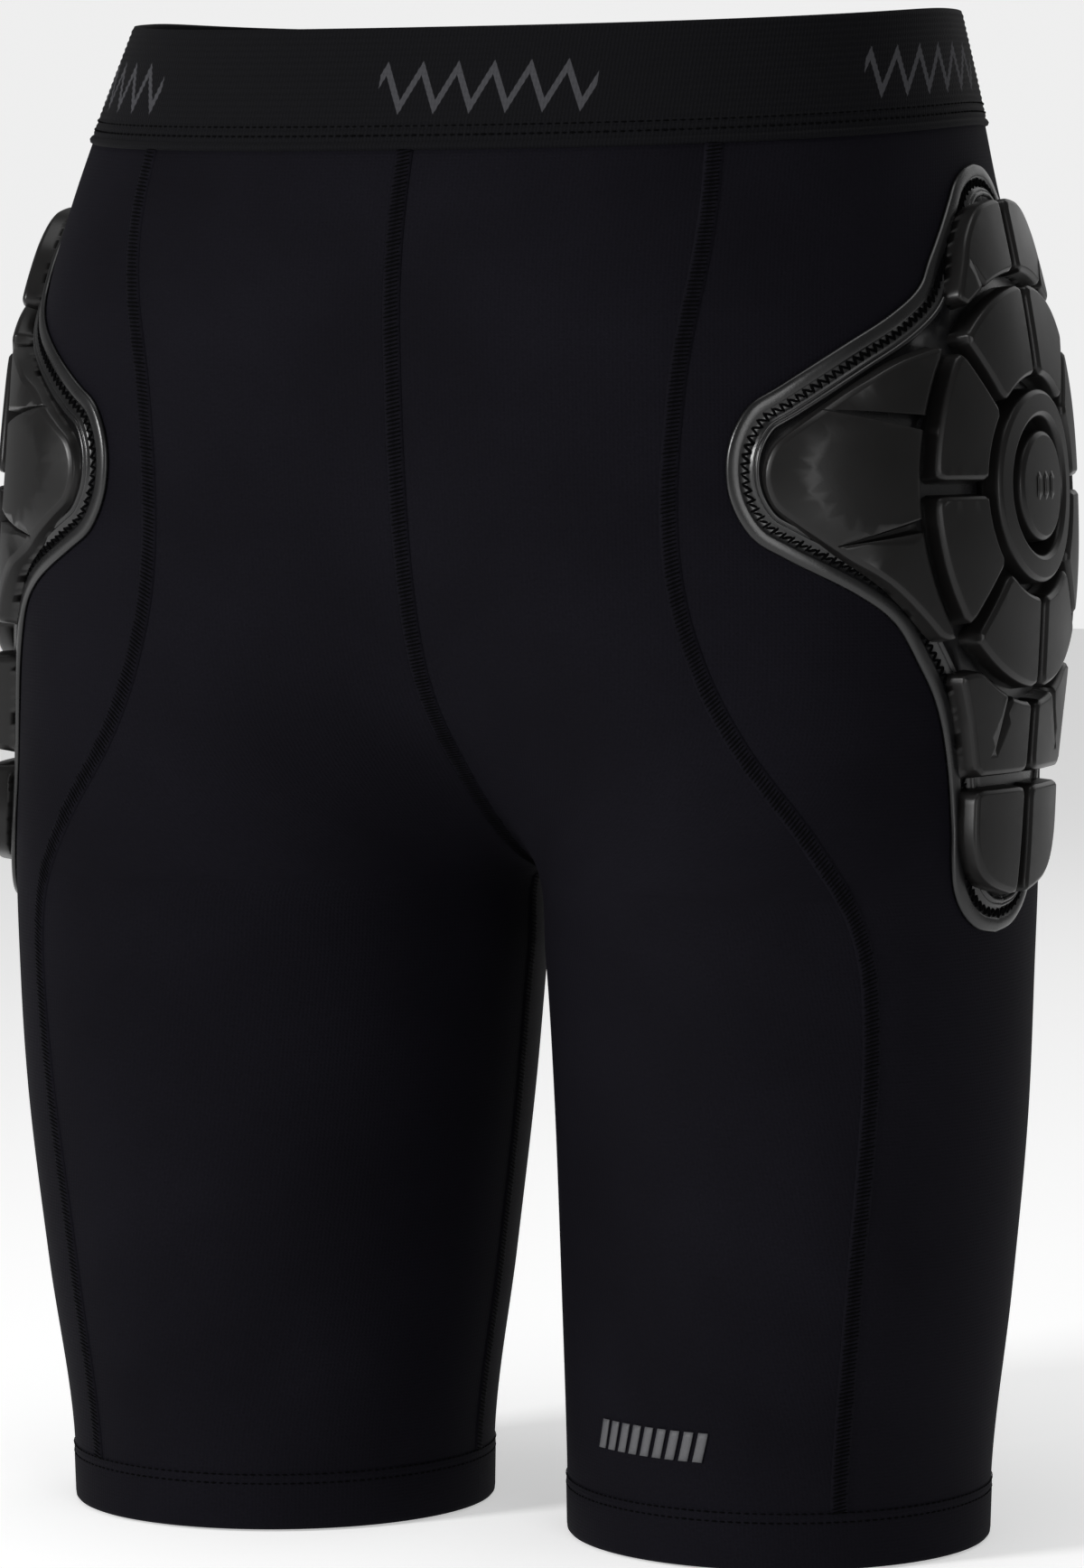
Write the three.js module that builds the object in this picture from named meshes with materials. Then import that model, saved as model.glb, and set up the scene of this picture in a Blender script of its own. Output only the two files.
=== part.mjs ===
// Padded impact shorts for skiing and snowboarding: knit shorts with an elastic waistband, a moulded
// segmented pad stitched over each hip and a smaller one over the tailbone.
// Millimetres, +Z up, the front faces -Y and the wearer's left is +X. The origin is the middle of the
// waist opening, level with the top of the waistband at the sides.

import * as THREE from 'three';
import { mergeVertices } from 'three/addons/utils/BufferGeometryUtils.js';
import { TessellateModifier } from 'three/addons/modifiers/TessellateModifier.js';

// ---- Garment sizes ----
const INSEAM = 215; // hem edge to crotch
const RISE = 281; // crotch to the top of the waistband at the sides
const HIP_WIDTH = 340; // widest part of the hips, side to side
const HIP_DEPTH = 243; // belly to seat at the hips
const FABRIC = 1.8; // knit with its inner facing
const HEM_HEIGHT = 18; // folded hem of each leg
const WAISTBAND_HEIGHT = 38;
const WAISTBAND_THICKNESS = 2.6;
const WAISTBAND_PROUD = 0.8; // the band stands this far out of the fabric
const WAIST_DIP = 0.09; // the waist edge dips at the front by this share of the body's depth there
const DIP_START = 20; // and the dip sets in over this distance at the sides
const SEAM_GAP = 0.3; // clearance where two pieces are sewn edge to edge
const BAND_GAP = 0.6; // waistband to panels: more, as their facets don't meet end to end
const FLEX_BOTTOM = 0.465 * INSEAM; // the fabric bends from here up when a leg swings
const FLEX_DROP = 29.6; // the bending stretch ends this far below the crotch
const FLEX_GAP = 1.2; // clearance above and below the bending stretch

// ---- Hip pad sizes, seen square on: u runs forward from the button, v runs up ----
const PAD_DROP = 12; // waistband down to the upper end of the base sheet
const PAD_BACK = 13.5; // the button sits this far behind the pad's reference line
const PAD_LINE = -0.15; // angle of that reference line round the hip, from straight sideways
const THIGH_LEAN = 21; // the lower lobe's end runs this far forward, along the thigh
const CARRIER = 1.6; // stitched base sheet
const CARRIER_CLEARANCE = 0.8; // base sheet to fabric
const POD_CLEARANCE = 0.8; // pod to base sheet
const POD_TOP = 10.5; // top of the centre pods above the fabric
const LOBE_TOP = 9; // top of the lobe pods
const GROOVE = 3; // flexing groove between pods
const BUTTON_RADIUS = 18;
const RING_WIDTH = 10;
const SECTORS = 8;
const SECTOR_REACH_U = 58; // outer edge of the sector wreath, forward and back
const SECTOR_REACH_V = 64; // and up and down

// ---- Tailbone pad sizes ----
const TAIL_DROP = 40; // waistband down to its upper end
const TAIL_CLEARANCE = 2; // its base sheet bridges the hollow of the back
const TAIL_WIDTH = 92;
const TAIL_LENGTH = 138;
const TAIL_BORDER = 13; // stitched border round its pods
const TAIL_TOP = 9.5;

const TOP = INSEAM + RISE;
const PANEL_TOP = TOP - WAISTBAND_HEIGHT;
const CARRIER_BASE = CARRIER_CLEARANCE;
const POD_BASE = CARRIER_BASE + CARRIER + POD_CLEARANCE;
const PANEL_FACET = 23; // length of a facet on the fabric
const POD_FACET = 19; // longest facet edge on a pod
const CARRIER_FACET = 19;

// ---- Body form ----
// Both legs are ovals about their own axes, and the ovals melt into one section above the crotch.
// Level 0 is the hem, 1 the crotch and 2 the waist edge. Side and axis are shares of half the hip width,
// front, back, shift and join are shares of half its depth; lean and square are plain ratios.
const FORM = [
  //  level  side  front   back   axis  shift  lean  join  square
  [0.0, 0.929, 0.58, 0.58, 0.521, -0.1, 0.03, 0.025, 0],
  [0.09, 0.932, 0.59, 0.59, 0.522, -0.1, 0.03, 0.025, 0],
  [0.38, 0.976, 0.64, 0.64, 0.531, -0.08, 0.1, 0.033, 0],
  [0.66, 1.009, 0.69, 0.7, 0.536, -0.066, 0.15, 0.041, 0],
  [0.87, 1.015, 0.73, 0.765, 0.534, -0.066, 0.16, 0.057, 0.01],
  [1.01, 1.012, 0.765, 0.83, 0.53, -0.066, 0.15, 0.074, 0.03],
  [1.12, 1.003, 0.8, 0.915, 0.485, -0.066, 0.12, 0.125, 0.05],
  [1.26, 1.0, 0.87, 1.01, 0.37, -0.066, 0.06, 0.2, 0.08],
  [1.4, 0.997, 0.92, 1.08, 0.265, -0.066, 0.03, 0.24, 0.09],
  [1.54, 0.982, 0.94, 1.085, 0.21, -0.08, 0, 0.25, 0.085],
  [1.69, 0.947, 0.93, 1.045, 0.176, -0.1, 0, 0.247, 0.07],
  [1.81, 0.9, 0.905, 0.97, 0.153, -0.08, 0, 0.24, 0.06],
  [1.87, 0.876, 0.89, 0.93, 0.141, -0.05, 0, 0.23, 0.05],
  [2.0, 0.812, 0.825, 0.865, 0.129, 0.016, 0, 0.205, 0.05],
];
const HALF_WIDTH = HIP_WIDTH / 2;
const HALF_DEPTH = HIP_DEPTH / 2;
const heightOfLevel = (level) => (level < 1 ? level * INSEAM : INSEAM + (level - 1) * RISE);
const STATIONS = FORM.map(([level, side, front, back, axis, shift, lean, join, square]) => ({
  height: heightOfLevel(level),
  values: [side * HALF_WIDTH, front * HALF_DEPTH, back * HALF_DEPTH, axis * HALF_WIDTH,
    shift * HALF_DEPTH, lean, join * HALF_DEPTH, square],
}));

// Slopes for a smooth curve through the stations.
const RISES = STATIONS.slice(1).map((s, i) => s.height - STATIONS[i].height);
const CHORDS = RISES.map((rise, i) =>
  STATIONS[i].values.map((v, n) => (STATIONS[i + 1].values[n] - v) / rise));
const SLOPES = STATIONS.map((s, i) => {
  if (i === 0) return CHORDS[0];
  if (i === STATIONS.length - 1) return CHORDS[i - 1];
  const [below, above] = [RISES[i - 1], RISES[i]];
  return CHORDS[i].map((c, n) => (CHORDS[i - 1][n] * above + c * below) / (above + below));
});

const smooth = (t) => {
  const s = Math.min(Math.max(t, 0), 1);
  return s * s * (3 - 2 * s);
};

// The section's eight values at a height.
function sectionAt(height) {
  const last = STATIONS.length - 2;
  let i = 0;
  while (i < last && height >= STATIONS[i + 1].height) i += 1;
  const rise = RISES[i];
  const t = (height - STATIONS[i].height) / rise;
  const h01 = t * t * (3 - 2 * t);
  const h10 = t * (1 - t) * (1 - t);
  const h11 = t * t * (t - 1);
  return STATIONS[i].values.map((v, n) =>
    (1 - h01) * v + h01 * STATIONS[i + 1].values[n] + rise * (h10 * SLOPES[i][n] + h11 * SLOPES[i + 1][n]));
}

// Angle, from straight sideways, at which the left half meets the middle plane (or its own inseam).
const SQUARING_STEPS = 6;
function innermostAngle(height) {
  const [side, , , axis, , , join, square] = sectionAt(height);
  const across = (join - axis) / (Math.hypot(side, join) - axis);
  let c = across;
  // Ahead of its own axis the section is squared off, as in field.
  for (let i = 0; c > 0 && i < SQUARING_STEPS; i += 1) c = across / (1 + square * (1 - c * c));
  return Math.acos(Math.max(c, -1));
}

// rho, y and z of the left half, and join: x is sqrt(rho^2 - join^2), so these four have smooth slopes.
function field(height, angle) {
  const [side, front, back, axis, shift, lean, join, square] = sectionAt(height);
  const reach = Math.hypot(side, join) - axis;
  const c = Math.cos(angle);
  const s = Math.sin(angle);
  const across = c > 0 ? c * (1 + square * s * s) : c;
  const along = s * (1 + square * c * c);
  const y = shift - lean * reach * c + (s > 0 ? back : front) * along;
  const dip = WAIST_DIP * smooth((height - INSEAM - 0.56 * RISE) / (0.31 * RISE));
  return [axis + reach * across, y, height - (dip * (Math.hypot(y, DIP_START) - y)) / 2, join];
}

// Point on the left half at a height and angle, moved out along the surface's normal.
function skin(height, angle, out = 0) {
  const step = 0.01;
  const [rho, y, z, join] = field(height, angle);
  const x = Math.sqrt(Math.max(rho * rho - join * join, 0));
  const low = field(height - step, angle);
  const high = field(height + step, angle);
  const before = field(height, angle - step / 100);
  const after = field(height, angle + step / 100);
  const up = high.map((v, n) => (v - low[n]) / (2 * step));
  const round = after.map((v, n) => ((v - before[n]) / (2 * step)) * 100);
  const spinX = rho * round[0];
  const riseX = rho * up[0] - join * up[3];
  const normal = new THREE.Vector3(
    x * (round[1] * up[2] - round[2] * up[1]),
    round[2] * riseX - spinX * up[2],
    spinX * up[1] - round[1] * riseX,
  ).normalize();
  return new THREE.Vector3(x, y, z).addScaledVector(normal, out);
}

// Arc lengths round the left half at one height, from the front middle to the back middle. The samples
// crowd towards both ends, where the surface turns fastest for a given angle.
const ARC_SAMPLES = 72;
const shareOf = (limit, angle) => Math.acos(-angle / limit) / Math.PI;
const angleOf = (limit, share) => -limit * Math.cos(Math.PI * share);
const tables = new Map();
function arcTable(height) {
  const key = height.toFixed(3);
  if (tables.has(key)) return tables.get(key);
  const limit = innermostAngle(height);
  const table = { limit, shares: [], arcs: [] };
  let previous = null;
  for (let i = 0; i <= ARC_SAMPLES; i += 1) {
    const share = i / ARC_SAMPLES;
    const [rho, y, z, join] = field(height, angleOf(limit, share));
    const point = new THREE.Vector3(Math.sqrt(Math.max(rho * rho - join * join, 0)), y, z);
    table.shares.push(share);
    table.arcs.push(previous ? table.arcs[i - 1] + point.distanceTo(previous) : 0);
    previous = point;
  }
  tables.set(key, table);
  return table;
}

function lookUp(value, from, to) {
  let i = 1;
  while (i < from.length - 1 && from[i] < value) i += 1;
  const t = (value - from[i - 1]) / (from[i] - from[i - 1]);
  return to[i - 1] + t * (to[i] - to[i - 1]);
}
function arcAt(height, angle) {
  const { limit, shares, arcs } = arcTable(height);
  return lookUp(shareOf(limit, angle), shares, arcs);
}
function angleAt(height, arc) {
  const { limit, shares, arcs } = arcTable(height);
  return angleOf(limit, lookUp(arc, arcs, shares));
}
const halfRound = (height) => arcTable(height).arcs.at(-1);

// ---- Seams ----
// Angle of the front and rear long seams at a level. They curve out round the thigh, then run down it.
const FRONT_SEAM = [[0, -0.94], [0.4, -0.92], [0.8, -0.86], [0.95, -0.9], [1.06, -1.06], [1.16, -1.22],
  [1.28, -1.25], [1.42, -1.2], [1.58, -1.12], [1.8, -0.98], [2, -0.92]];
const REAR_SEAM = [[0, 1.05], [0.8, 1.0], [1.05, 1.02], [1.25, 1.08], [1.5, 1.06], [1.8, 0.98], [2, 0.95]];
function seamAngle(points, height) {
  const knots = points.map(([level, angle]) => new THREE.Vector2(heightOfLevel(level), angle));
  const [heights, angles] = [[], []];
  new THREE.SplineCurve(knots).getPoints(120).forEach((p) => {
    heights.push(p.x);
    angles.push(p.y);
  });
  return lookUp(height, heights, angles);
}
const seamCache = new Map();
function seamArc(name, points, height) {
  const key = name + height.toFixed(3);
  if (!seamCache.has(key)) seamCache.set(key, arcAt(height, seamAngle(points, height)));
  return seamCache.get(key);
}

// Each panel's two edges as arc lengths at a height, half a seam gap in from the seam.
const HALF_GAP = SEAM_GAP / 2;
const frontSeam = (height) => seamArc('front', FRONT_SEAM, height);
const rearSeam = (height) => seamArc('rear', REAR_SEAM, height);
const EDGES = {
  front: [() => HALF_GAP, (h) => frontSeam(h) - HALF_GAP],
  side: [(h) => frontSeam(h) + HALF_GAP, (h) => rearSeam(h) - HALF_GAP],
  back: [(h) => rearSeam(h) + HALF_GAP, (h) => halfRound(h) - HALF_GAP],
};

// ---- Mesh makers ----
const knit = new THREE.MeshStandardMaterial({ color: '#17161b', roughness: 0.85, metalness: 0 });
const elastic = new THREE.MeshStandardMaterial({ color: '#141416', roughness: 0.8, metalness: 0 });
const sheet = new THREE.MeshStandardMaterial({ color: '#1b1b1d', roughness: 0.5, metalness: 0 });
const moulded = new THREE.MeshStandardMaterial({ color: '#242322', roughness: 0.35, metalness: 0 });

const shorts = new THREE.Group();
shorts.position.z = -TOP;

function addMesh(name, geometry, material) {
  const mesh = new THREE.Mesh(geometry, material.clone());
  mesh.name = name;
  shorts.add(mesh);
}

function meshFrom(points, triangles) {
  const geometry = new THREE.BufferGeometry();
  const numbers = points.flatMap((p) => [p.x, p.y, p.z]);
  geometry.setAttribute('position', new THREE.Float32BufferAttribute(numbers, 3));
  geometry.setIndex(triangles.flat());
  geometry.computeVertexNormals();
  return geometry;
}

// The same body on the wearer's right: x changes sign and each face turns round to stay outward.
function mirrored(geometry) {
  const copy = geometry.clone().scale(-1, 1, 1);
  const index = copy.getIndex().array;
  for (let i = 0; i < index.length; i += 3) [index[i + 1], index[i + 2]] = [index[i + 2], index[i + 1]];
  copy.computeVertexNormals();
  return copy;
}

// A bent sheet: a grid of outer points, the same grid of inner points, and walls round the edges.
// outer(i, j) and inner(i, j) give points; the columns i run round the body, the rows j run up.
function sheetMesh(columns, rows, outer, inner, closed = false) {
  const points = [];
  const triangles = [];
  const width = closed ? columns : columns + 1;
  const layer = width * (rows + 1);
  const at = (side, i, j) => side * layer + j * width + (i % width);
  [outer, inner].forEach((place) => {
    for (let j = 0; j <= rows; j += 1) {
      for (let i = 0; i < width; i += 1) points.push(place(i, j));
    }
  });
  const quad = (a, b, c, d) => triangles.push([a, b, c], [a, c, d]);
  for (let j = 0; j < rows; j += 1) {
    for (let i = 0; i < columns; i += 1) {
      quad(at(0, i, j), at(0, i + 1, j), at(0, i + 1, j + 1), at(0, i, j + 1));
      quad(at(1, i, j), at(1, i, j + 1), at(1, i + 1, j + 1), at(1, i + 1, j));
    }
  }
  for (let i = 0; i < columns; i += 1) {
    quad(at(0, i + 1, 0), at(0, i, 0), at(1, i, 0), at(1, i + 1, 0));
    quad(at(0, i, rows), at(0, i + 1, rows), at(1, i + 1, rows), at(1, i, rows));
  }
  if (!closed) {
    for (let j = 0; j < rows; j += 1) {
      quad(at(0, 0, j), at(0, 0, j + 1), at(1, 0, j + 1), at(1, 0, j));
      quad(at(0, columns, j + 1), at(0, columns, j), at(1, columns, j), at(1, columns, j + 1));
    }
  }
  return meshFrom(points, triangles);
}

// Heights from bottom to top in near-equal steps.
function steps(bottom, top, facet = PANEL_FACET) {
  const count = Math.max(1, Math.round((top - bottom) / facet));
  return Array.from({ length: count + 1 }, (_, i) => bottom + ((top - bottom) * i) / count);
}

// A panel between two seams, and its mirror image.
function addPanels(name, edges, heights) {
  const middle = heights[Math.floor(heights.length / 2)];
  const columns = Math.max(2, Math.round((edges[1](middle) - edges[0](middle)) / PANEL_FACET));
  const place = (out) => (i, j) => {
    const height = heights[j];
    const arc = THREE.MathUtils.lerp(edges[0](height), edges[1](height), i / columns);
    return skin(height, angleAt(height, arc), out);
  };
  const geometry = sheetMesh(columns, heights.length - 1, place(0), place(-FABRIC));
  addMesh(`${name}_left`, geometry, knit);
  addMesh(`${name}_right`, mirrored(geometry), knit);
}

// A closed band round one leg, and its mirror image.
function addLegBands(name, heights, thickness, material) {
  const columns = Math.round(halfRound(heights[0]) / PANEL_FACET);
  const place = (out) => (i, j) => {
    const height = heights[j];
    return skin(height, angleAt(height, (halfRound(height) * i) / columns), out);
  };
  const geometry = sheetMesh(columns, heights.length - 1, place(0), place(-thickness), true);
  addMesh(`${name}_left`, geometry, material);
  addMesh(`${name}_right`, mirrored(geometry), material);
}

// ---- Fabric ----
// The crotch is where the two ovals first touch.
function crotchHeight() {
  let [low, high] = [0.8 * INSEAM, INSEAM + 0.2 * RISE];
  for (let i = 0; i < 40; i += 1) {
    const middle = (low + high) / 2;
    if (innermostAngle(middle) < Math.PI - 1e-9) high = middle;
    else low = middle;
  }
  return high;
}
const CROTCH = crotchHeight();
const FLEX_TOP = CROTCH - FLEX_DROP;
const upperHeights = [
  ...steps(FLEX_TOP + FLEX_GAP / 2, CROTCH - 1, 14),
  CROTCH + 3,
  ...steps(CROTCH + 12, PANEL_TOP - HALF_GAP, 20),
];
addPanels('front_panel', EDGES.front, upperHeights);
addPanels('side_panel', EDGES.side, upperHeights);
addPanels('back_panel', EDGES.back, upperHeights);
addLegBands('flex_band', steps(FLEX_BOTTOM + FLEX_GAP / 2, FLEX_TOP - FLEX_GAP / 2), FABRIC, knit);
const legHeights = steps(HEM_HEIGHT + HALF_GAP, FLEX_BOTTOM - FLEX_GAP / 2);
addPanels('front_leg', EDGES.front, legHeights);
addPanels('side_leg', EDGES.side, legHeights);
addPanels('back_leg', EDGES.back, legHeights);
addLegBands('hem', [0, HEM_HEIGHT - HALF_GAP], FABRIC, knit);

// ---- Waistband: one elastic ring round both halves ----
function waistband() {
  const half = Math.round(halfRound(PANEL_TOP) / PANEL_FACET);
  const heights = [PANEL_TOP - HALF_GAP + BAND_GAP, PANEL_TOP + WAISTBAND_HEIGHT / 2, TOP];
  const place = (out) => (i, j) => {
    const height = heights[j];
    const onLeft = i <= half;
    const share = onLeft ? i / half : (2 * half - i) / half;
    const point = skin(height, angleAt(height, halfRound(height) * share), out);
    if (!onLeft) point.x *= -1;
    return point;
  };
  const inside = WAISTBAND_PROUD - WAISTBAND_THICKNESS;
  return sheetMesh(2 * half, heights.length - 1, place(WAISTBAND_PROUD), place(inside), true);
}
addMesh('waistband', waistband(), elastic);

// ---- Pad makers ----
const point2 = (u, v) => new THREE.Vector2(u, v);
const degrees = THREE.MathUtils.degToRad;

// Points on an upright oval from one angle to another, in degrees.
function oval(centreU, centreV, reachU, reachV, from, to, count) {
  return Array.from({ length: count + 1 }, (_, i) => {
    const angle = degrees(from + ((to - from) * i) / count);
    return point2(centreU + reachU * Math.cos(angle), centreV + reachV * Math.sin(angle));
  });
}
const curveThrough = (points, count) => new THREE.SplineCurve(points).getSpacedPoints(count);
const flipU = (points) => points.map((p) => point2(-p.x, p.y)).reverse();

// A flat outline is raised to a slab, its long edges are cut short, and it is laid over the body.
function wrapped(outline, base, top, facet, onto, holes = []) {
  const shape = new THREE.Shape(outline);
  holes.forEach((hole) => shape.holes.push(new THREE.Path(hole)));
  let slab = new THREE.ExtrudeGeometry(shape, { depth: top - base, bevelEnabled: false, curveSegments: 1 });
  slab.deleteAttribute('normal');
  slab.deleteAttribute('uv');
  slab = new TessellateModifier(facet, 12).modify(slab);
  const position = slab.getAttribute('position');
  for (let i = 0; i < position.count; i += 1) {
    const place = onto(position.getX(i), position.getY(i), base + position.getZ(i));
    position.setXYZ(i, place.x, place.y, place.z);
  }
  slab.deleteAttribute('normal');
  slab.deleteAttribute('uv');
  return mergeVertices(slab, 1e-3);
}

// Faces point out for an outline that runs the right way round; this turns them where they don't.
function facingOut(geometry) {
  const position = geometry.getAttribute('position');
  const index = geometry.getIndex().array;
  const [a, b, c] = [new THREE.Vector3(), new THREE.Vector3(), new THREE.Vector3()];
  let volume = 0;
  for (let i = 0; i < index.length; i += 3) {
    a.fromBufferAttribute(position, index[i]);
    b.fromBufferAttribute(position, index[i + 1]);
    c.fromBufferAttribute(position, index[i + 2]);
    volume += a.dot(b.cross(c));
  }
  if (volume < 0) {
    for (let i = 0; i < index.length; i += 3) [index[i + 1], index[i + 2]] = [index[i + 2], index[i + 1]];
  }
  geometry.computeVertexNormals();
  return geometry;
}

// ---- Hip pads ----
const RING_INNER = BUTTON_RADIUS + GROOVE;
const RING_OUTER = RING_INNER + RING_WIDTH;
const SECTOR_INNER = RING_OUTER + GROOVE;
const HALF_GROOVE = GROOVE / 2;
// The lobes start a groove away from the wreath, and every outline is an offset from it.
const [WREATH_U, WREATH_V] = [SECTOR_REACH_U + GROOVE, SECTOR_REACH_V + GROOVE];
const UPPER_REACH = WREATH_V + 37; // button centre to the upper end of the base sheet
const LOWER_REACH = WREATH_V + 73; // and to its lower end
const LOWER_SPLIT = -(WREATH_V + 25); // level of the groove between the lower pods and the end pods
const PAD_HEIGHT = PANEL_TOP - PAD_DROP - UPPER_REACH; // button centre above the hem edge
const LOBE_AXIS = 4.5; // the front lobe points this far above the button
const LOBE_RADIUS = 17;

function ontoHip(u, v, out) {
  const height = PAD_HEIGHT + v;
  const lean = v < 0 ? THIGH_LEAN * (v / LOWER_REACH) ** 2 : 0;
  const forward = u - PAD_BACK + lean;
  return skin(height, angleAt(height, arcAt(height, PAD_LINE) - forward), out);
}
function addHipPiece(name, outline, base, top, facet, holes = []) {
  const geometry = facingOut(wrapped(outline, base, top, facet, ontoHip, holes));
  addMesh(`${name}_left`, geometry, name.startsWith('hip_pad_base') ? sheet : moulded);
  addMesh(`${name}_right`, mirrored(geometry), name.startsWith('hip_pad_base') ? sheet : moulded);
}
// A point past the wreath's reach: along u, and up (or down, for a negative side) along v.
const pastWreath = (u, v, side = 1) => point2(WREATH_U + u, side * (WREATH_V + v));

// Half outline of the base sheet from the top of the upper lobe, round the front lobe, to the lower end.
const baseFront = curveThrough([
  ...oval(0, UPPER_REACH - 25, 26, 25, 90, 35, 3),
  pastWreath(-23, 8), pastWreath(-15, -2), pastWreath(-1, -11), pastWreath(18, -21),
  ...oval(WREATH_U + 34, LOBE_AXIS + 1.5, LOBE_RADIUS + 9, LOBE_RADIUS + 11, 75, -75, 5),
  pastWreath(18, -35, -1), pastWreath(4, -26, -1), pastWreath(-6, -14, -1), pastWreath(-17, 1, -1),
  pastWreath(-25, 19, -1), pastWreath(-30, 37, -1),
  ...oval(0, 29 - LOWER_REACH, WREATH_U - 32, 29, -10, -90, 4),
], 30);
const baseOutline = [...baseFront, ...flipU(baseFront).slice(1, -1)];
addHipPiece('hip_pad_base', baseOutline, CARRIER_BASE, CARRIER_BASE + CARRIER, CARRIER_FACET);

// Centre: a round button inside a ring, and a wreath of sectors round the ring.
const fullCircle = (radius, count) => oval(0, 0, radius, radius, 0, 360 - 360 / count, count - 1);
const ringHole = fullCircle(RING_INNER, 20).reverse();
addHipPiece('hip_button', fullCircle(BUTTON_RADIUS, 16), POD_BASE, POD_TOP, POD_FACET);
addHipPiece('hip_ring', fullCircle(RING_OUTER, 20), POD_BASE, POD_TOP, POD_FACET, [ringHole]);
const halfGroove = (radius) => THREE.MathUtils.radToDeg(HALF_GROOVE / radius);
for (let i = 0; i < SECTORS; i += 1) {
  const from = (i * 360) / SECTORS;
  const to = from + 360 / SECTORS;
  const outerTrim = halfGroove(SECTOR_REACH_U);
  const innerTrim = halfGroove(SECTOR_INNER);
  const outline = [
    ...oval(0, 0, SECTOR_REACH_U, SECTOR_REACH_V, from + outerTrim, to - outerTrim, 4),
    ...oval(0, 0, SECTOR_INNER, SECTOR_INNER, to - innerTrim, from + innerTrim, 3),
  ];
  addHipPiece(`hip_sector_${i + 1}`, outline, POD_BASE, POD_TOP, POD_FACET);
}

// Lobe pods.
const wreath = (from, to, count) => oval(0, 0, WREATH_U, WREATH_V, from, to, count);
const frontLobe = [
  ...curveThrough([pastWreath(-12, -22), pastWreath(5, -27), pastWreath(22, -36),
    ...oval(WREATH_U + 32, LOBE_AXIS, LOBE_RADIUS, LOBE_RADIUS, 65, -65, 4),
    pastWreath(26, -47, -1), pastWreath(9, -36, -1), pastWreath(-9, -20, -1)], 20),
  ...wreath(-46, 42, 7),
];
addHipPiece('hip_front_lobe', frontLobe, POD_BASE, LOBE_TOP, POD_FACET);
addHipPiece('hip_rear_lobe', flipU(frontLobe), POD_BASE, LOBE_TOP, POD_FACET);

const middleGroove = halfGroove(WREATH_U);
const upperPod = [
  ...wreath(57, 90 - middleGroove, 4),
  ...curveThrough([point2(HALF_GROOVE, WREATH_V + 25), pastWreath(-44, 22.5), pastWreath(-34, 14),
    pastWreath(-28, 3), pastWreath(-22.5, -8)], 7),
];
const lowerPod = [
  ...wreath(-90 + middleGroove, -57, 4),
  pastWreath(-17, -10, -1), pastWreath(-24, 6, -1),
  point2(WREATH_U - 30, LOWER_SPLIT + HALF_GROOVE), point2(HALF_GROOVE, LOWER_SPLIT + HALF_GROOVE),
];
const endPod = [
  point2(HALF_GROOVE, LOWER_SPLIT - HALF_GROOVE),
  ...curveThrough([point2(WREATH_U - 30.5, LOWER_SPLIT - HALF_GROOVE), pastWreath(-33.5, 45, -1),
    pastWreath(-42, 56.5, -1), point2(HALF_GROOVE, -(WREATH_V + 62))], 8),
];
const pods = { hip_upper_pod: upperPod, hip_lower_pod: lowerPod, hip_end_pod: endPod };
Object.entries(pods).forEach(([name, outline]) => {
  addHipPiece(`${name}_front`, outline, POD_BASE, LOBE_TOP, POD_FACET);
  addHipPiece(`${name}_rear`, flipU(outline), POD_BASE, LOBE_TOP, POD_FACET);
});

// ---- Tailbone pad: u runs to the wearer's left from the middle of the back ----
const TAIL_HEIGHT = PANEL_TOP - TAIL_DROP - TAIL_LENGTH / 2;
function ontoBack(u, v, out) {
  const height = TAIL_HEIGHT + v;
  const place = skin(height, angleAt(height, halfRound(height) - Math.abs(u)), out);
  if (u < 0) place.x *= -1;
  return place;
}

// A shield outline that is wide above and rounds in to a blunt end below.
function shield(inset, count) {
  const halfWidth = TAIL_WIDTH / 2 - inset;
  const halfLength = TAIL_LENGTH / 2 - inset;
  return curveThrough([
    [0, 1], [0.62, 0.94], [0.97, 0.62], [0.9, 0.1], [0.58, -0.5], [0.36, -0.87], [0, -1],
  ].map(([u, v]) => point2(u * halfWidth, v * halfLength)), count);
}
function addTailPiece(name, outline, base, top, facet, material) {
  addMesh(name, facingOut(wrapped(outline, base, top, facet, ontoBack)), material);
}
const tailFront = shield(0, 12);
const tailOutline = [...tailFront, ...flipU(tailFront).slice(1, -1)];
const TAIL_SHEET_TOP = TAIL_CLEARANCE + CARRIER;
addTailPiece('tail_pad_base', tailOutline, TAIL_CLEARANCE, TAIL_SHEET_TOP, CARRIER_FACET, sheet);

const TAIL_POD_BASE = TAIL_SHEET_TOP + POD_CLEARANCE;
const podEdge = shield(TAIL_BORDER, 24);
const TAIL_SPLIT = -0.12 * TAIL_LENGTH; // level of the groove between the upper pods and the lower one
const above = podEdge.filter((p) => p.y > TAIL_SPLIT + GROOVE && p.x > GROOVE);
const below = podEdge.filter((p) => p.y < TAIL_SPLIT - GROOVE && p.x > GROOVE);
const tailUpper = [
  point2(HALF_GROOVE, podEdge[0].y), ...above,
  point2(above.at(-1).x, TAIL_SPLIT + HALF_GROOVE), point2(HALF_GROOVE, TAIL_SPLIT + HALF_GROOVE),
];
const tailLower = [
  point2(below[0].x, TAIL_SPLIT - HALF_GROOVE), ...below, podEdge.at(-1), ...flipU(below),
  point2(-below[0].x, TAIL_SPLIT - HALF_GROOVE),
];
const tailPods = {
  tail_upper_pod_left: tailUpper, tail_upper_pod_right: flipU(tailUpper), tail_lower_pod: tailLower,
};
Object.entries(tailPods).forEach(([name, outline]) => {
  addTailPiece(name, outline, TAIL_POD_BASE, TAIL_TOP, POD_FACET, moulded);
});

export default shorts;
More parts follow.
